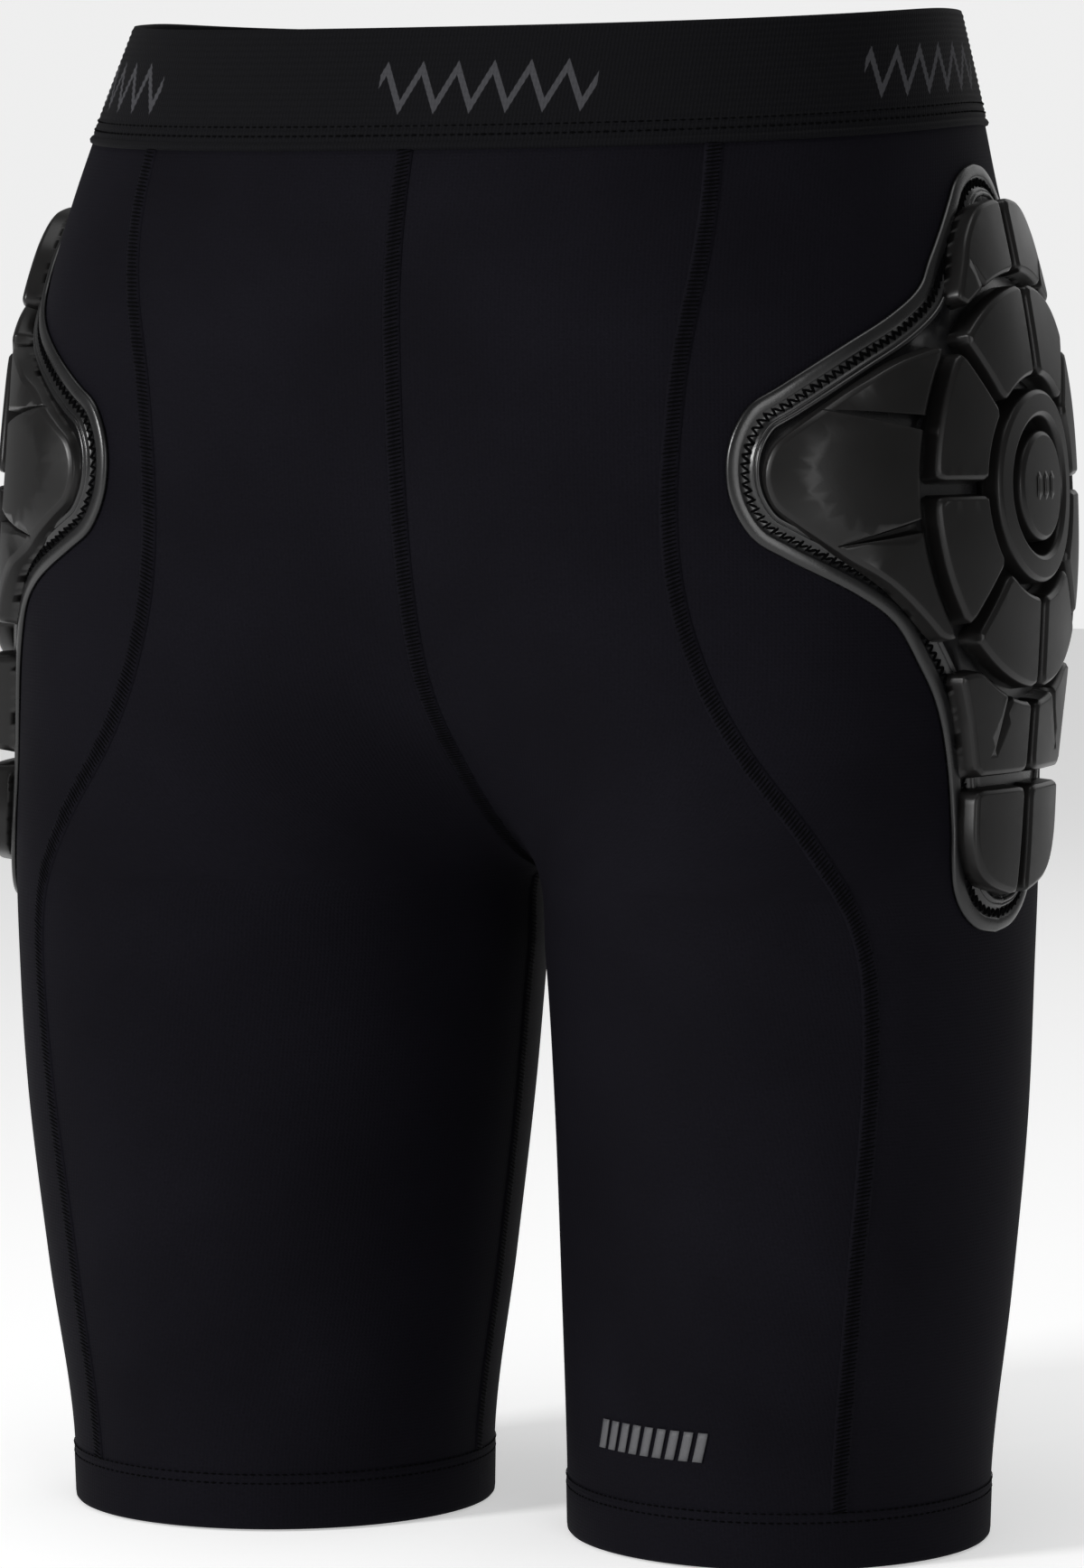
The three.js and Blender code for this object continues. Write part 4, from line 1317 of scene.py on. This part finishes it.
# name: outline, top, creases, drop, slits
pods = {"hip_button": (circle(BUTTON_RADIUS), POD_TOP, (), None, ())}
for number in range(SECTORS):
    start = number * 360 / SECTORS
    end = start + 360 / SECTORS
    trim_out, trim_in = groove_angle(SECTOR_REACH_U), groove_angle(SECTOR_INNER)
    outline = np.vstack(
        [
            oval((0, 0), (SECTOR_REACH_U, SECTOR_REACH_V), start + trim_out, end - trim_out, 30),
            oval((0, 0), (SECTOR_INNER, SECTOR_INNER), end - trim_in, start + trim_in, 18),
        ]
    )
    pods[f"hip_sector_{number + 1}"] = (outline, POD_TOP, (), None, ())
pods["hip_front_lobe"] = (front_lobe, LOBE_TOP, (facet_edge,), tip_drop, LOBE_SLITS)
pods["hip_rear_lobe"] = (
    front_lobe * flip,
    LOBE_TOP,
    (facet_edge * flip,),
    mirrored_drop,
    flipped(LOBE_SLITS),
)
for label, outline, slits in (
    ("hip_upper_pod", upper_pod, UPPER_SLITS),
    ("hip_lower_pod", lower_pod, LOWER_SLITS),
    ("hip_end_pod", end_pod, ()),
):
    pods[f"{label}_front"] = (outline, LOBE_TOP, (), None, slits)
    pods[f"{label}_rear"] = (outline * flip, LOBE_TOP, (), None, flipped(slits))

CORNER = 1.6
for label, (outline, top, creases, drop, slits) in pods.items():
    plan_outline = rounded(closed_even(outline), CORNER)
    points, faces, edge = moulding(plan_outline, pod_profile(top), onto_hip, creases, drop)
    for name, side in SIDES.items():
        pod = add_piece(f"{name}_{label}_moulded", points, faces, pod_skin, side)
        mark_edges(pod, points, edge, side)
        crisp(pod)
        cut_slits(pod, slits, onto_hip, side)
        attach(pod, "hips")
        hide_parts(f"{label}_{name}")

# Three low bars are moulded on the button's face.
RELIEF_PITCH, RELIEF_CORNER = 5.5, 0.8
relief_corners = np.array([(-1.4, -6), (1.4, -6), (1.4, 6), (-1.4, 6)])
relief_profile = [(0, POD_TOP - 0.3), (0.2, POD_TOP + 0.35), (0.5, POD_TOP + 0.5)]
for number in range(3):
    slide = np.array([(number - 1) * RELIEF_PITCH, 0])
    bar_outline = rounded(closed_even(relief_corners + slide), RELIEF_CORNER)
    points, faces, edge = moulding(bar_outline, relief_profile, onto_hip)
    for name, side in SIDES.items():
        bar = add_piece(f"{name}_button_bar_{number + 1}_moulded", points, faces, pod_skin, side)
        mark_edges(bar, points, edge, side)
        crisp(bar)
        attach(bar, "hips")

# The ring is swept round, for its hole.
ring_half = [(d, h) for d, h in pod_profile(POD_TOP) if d < RING_WIDTH / 2 - 0.5]
ring_profile = [(RING_OUTER - d, h) for d, h in ring_half]
ring_profile += [(RING_INNER + d, h) for d, h in reversed(ring_half)]
RING_COLUMNS = 120
turns = np.linspace(0, 2 * np.pi, RING_COLUMNS, endpoint=False)
ring_plan = np.vstack(
    [np.column_stack([r * np.cos(turns), r * np.sin(turns)]) for r, _ in ring_profile]
)
ring_outs = np.concatenate([np.full(RING_COLUMNS, h) for _, h in ring_profile])
ring_points = onto_hip(ring_plan, ring_outs)
ring_edge = np.concatenate(
    [np.full(RING_COLUMNS, min(RING_OUTER - r, r - RING_INNER)) for r, _ in ring_profile]
)
ring_faces = grid_faces(len(ring_profile), RING_COLUMNS, rows_close=True, columns_close=True)

base_points, base_faces, _ = moulding(base_outline, BORDER, onto_hip)
ZIGZAG = 1.5  # half of the zigzag's pitch
ZIGZAG_LIFT = 1.6  # above the knit, just over the sunk track
ZIGZAG_THREAD = (0.95, 0.8)


def zigzag(outline, onto):
    """Strand ends and outward directions of a zigzag in the border's track."""
    outer, inner = inset(outline, TRACK[0]), inset(outline, TRACK[1])
    length = np.linalg.norm(np.roll(outer, -1, axis=0) - outer, axis=1).sum()
    count = int(length / ZIGZAG / 2) * 2
    rim = spaced(np.vstack([outer, outer[:1]]), count)
    lap = spaced(np.vstack([inner, inner[:1]]), count)
    k = np.arange(count)
    even = (k % 2 == 0)[:, None]
    starts = np.where(even, rim[k], lap[k])
    ends = np.where(even, lap[k + 1], rim[k + 1])
    low, high = np.full(count, ZIGZAG_LIFT), np.full(count, ZIGZAG_LIFT + 1)
    middle = (starts + ends) / 2
    return onto(starts, low), onto(ends, low), onto(middle, high) - onto(middle, low)


hip_zigzag = zigzag(base_outline, onto_hip)
for name, side in SIDES.items():
    ring = add_piece(f"{name}_hip_ring_moulded", ring_points, ring_faces, pod_skin, side)
    mark_edges(ring, ring_points, ring_edge, side)
    crisp(ring)
    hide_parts(f"hip_ring_{name}")
    base = add_piece(f"{name}_hip_base_sheet", base_points, base_faces, film, side)
    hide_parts(f"hip_pad_base_{name}")
    sewn = sew(f"{name}_hip_zigzag", *hip_zigzag, *ZIGZAG_THREAD, side)
    for piece in (ring, base, sewn):
        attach(piece, "hips")

# ---- Tailbone pad ----
# The same construction, smaller: a shield of three pods over the tailbone, sewn across the seat's
# middle seam.
TAIL_DROP, TAIL_CLEARANCE = 40, 2
TAIL_WIDTH, TAIL_LENGTH, TAIL_BORDER, TAIL_TOP = 92, 138, 13, 9.5
TAIL_HEIGHT = PANEL_TOP - TAIL_DROP - TAIL_LENGTH / 2


def onto_back(plan, out):
    u, v = plan[:, 0], plan[:, 1]
    height = TAIL_HEIGHT + v
    points = skin(
        height, angle_at(height, half_round(height) - np.abs(u)), np.broadcast_to(out, u.shape)
    )
    points[:, 0] *= np.where(u < 0, -1, 1)
    return points


def shield(inset_by, count):
    half_width, half_length = TAIL_WIDTH / 2 - inset_by, TAIL_LENGTH / 2 - inset_by
    knots = [(0, 1), (0.62, 0.94), (0.97, 0.62), (0.9, 0.1), (0.58, -0.5), (0.36, -0.87), (0, -1)]
    return curve_through([(half_width * a, half_length * b) for a, b in knots], count)


shield_half = shield(0, 90)
shield_outline = closed_even(np.vstack([shield_half, shield_half[1:-1][::-1] * flip]), 2.0)
LIFT = TAIL_CLEARANCE - 0.8
tail_border = [(d, h + (LIFT if h > 0.2 else 0)) for d, h in BORDER]
tail_points, tail_faces, _ = moulding(shield_outline, tail_border, onto_back)
tail_base = add_piece("tail_base_sheet", tail_points, tail_faces, film)
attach(tail_base, "hips")
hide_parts("tail_pad_base")


def onto_back_raised(plan, out):
    return onto_back(plan, out + LIFT)


tail_thread = sew("tail_zigzag", *zigzag(shield_outline, onto_back_raised), *ZIGZAG_THREAD)
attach(tail_thread, "hips")

edge_line = shield(TAIL_BORDER, 90)
TAIL_SPLIT = -0.12 * TAIL_LENGTH
above = edge_line[(edge_line[:, 1] > TAIL_SPLIT + HALF_GROOVE) & (edge_line[:, 0] > HALF_GROOVE)]
below = edge_line[(edge_line[:, 1] < TAIL_SPLIT - HALF_GROOVE) & (edge_line[:, 0] > HALF_GROOVE)]
tail_upper = np.vstack(
    [
        [(HALF_GROOVE, edge_line[0, 1])],
        above,
        [(above[-1, 0], TAIL_SPLIT + HALF_GROOVE), (HALF_GROOVE, TAIL_SPLIT + HALF_GROOVE)],
    ]
)
tail_lower = np.vstack(
    [
        [(below[0, 0], TAIL_SPLIT - HALF_GROOVE)],
        below,
        edge_line[-1:],
        below[::-1] * flip,
        [(-below[0, 0], TAIL_SPLIT - HALF_GROOVE)],
    ]
)
for label, outline in (
    ("tail_upper_pod_left", tail_upper),
    ("tail_upper_pod_right", tail_upper * flip),
    ("tail_lower_pod", tail_lower),
):
    plan_outline = rounded(closed_even(outline), CORNER)
    points, faces, edge = moulding(plan_outline, pod_profile(TAIL_TOP - LIFT), onto_back_raised)
    pod = add_piece(f"{label}_moulded", points, faces, pod_skin)
    mark_edges(pod, points, edge, 1)
    crisp(pod)
    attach(pod, "hips")
    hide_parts(label)

# ---- Studio ----
# A pale sweep of floor and wide soft lights.
floor_mesh = bpy.data.meshes.new("floor")
FLOOR_REACH = 6
floor_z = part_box("hem_left")[0].z - 0.0005
corners = [(-1, -1), (1, -1), (1, 1), (-1, 1)]
floor_mesh.from_pydata(
    [(x * FLOOR_REACH, y * FLOOR_REACH, floor_z) for x, y in corners], [], [(0, 1, 2, 3)]
)
floor = bpy.data.objects.new("floor", floor_mesh)
bpy.context.scene.collection.objects.link(floor)
paper, tree, shader = new_surface("white_paper_matt")
shader.inputs["Base Color"].default_value = linear("#f4f4f4")
shader.inputs["Roughness"].default_value = 0.9
shader.inputs["Emission Color"].default_value = linear("#ffffff")
shader.inputs["Emission Strength"].default_value = 0.45
floor_mesh.materials.append(paper)

world = bpy.data.worlds.new("studio")
bpy.context.scene.world = world
bpy.context.scene.view_settings.view_transform = "Standard"
world.use_nodes = True
background = world.node_tree.nodes["Background"]
background.inputs["Color"].default_value = linear("#ffffff")
SEEN, SHED = 0.86, 0.2  # the backdrop is pale to look at, and sheds only a little light
ray = add_node(world.node_tree, "ShaderNodeLightPath")
strength = add_node(
    world.node_tree,
    "ShaderNodeMapRange",
    {"Value": ray.outputs["Is Camera Ray"], "To Min": SHED, "To Max": SEEN},
)
world.node_tree.links.new(strength.outputs[0], background.inputs["Strength"])

# name: place, size, power
LIGHTS = {
    "key": ((-1.35, -1.8, 0.45), 0.45, 36),
    "side": ((1.4, -1.75, 0.1), 0.8, 9),
    "top": ((0, -0.2, 1.7), 1.2, 10),
    "back": ((0.6, 2.0, 0.8), 1.5, 5),
}
for name, (where, size_of, power) in LIGHTS.items():
    lamp = bpy.data.lights.new(name, "AREA")
    lamp.energy = power
    lamp.size = size_of
    holder = bpy.data.objects.new(name, lamp)
    bpy.context.scene.collection.objects.link(holder)
    holder.location = where
    aim = Vector((0, 0, -0.25)) - Vector(where)
    holder.rotation_euler = aim.to_track_quat("-Z", "Y").to_euler()
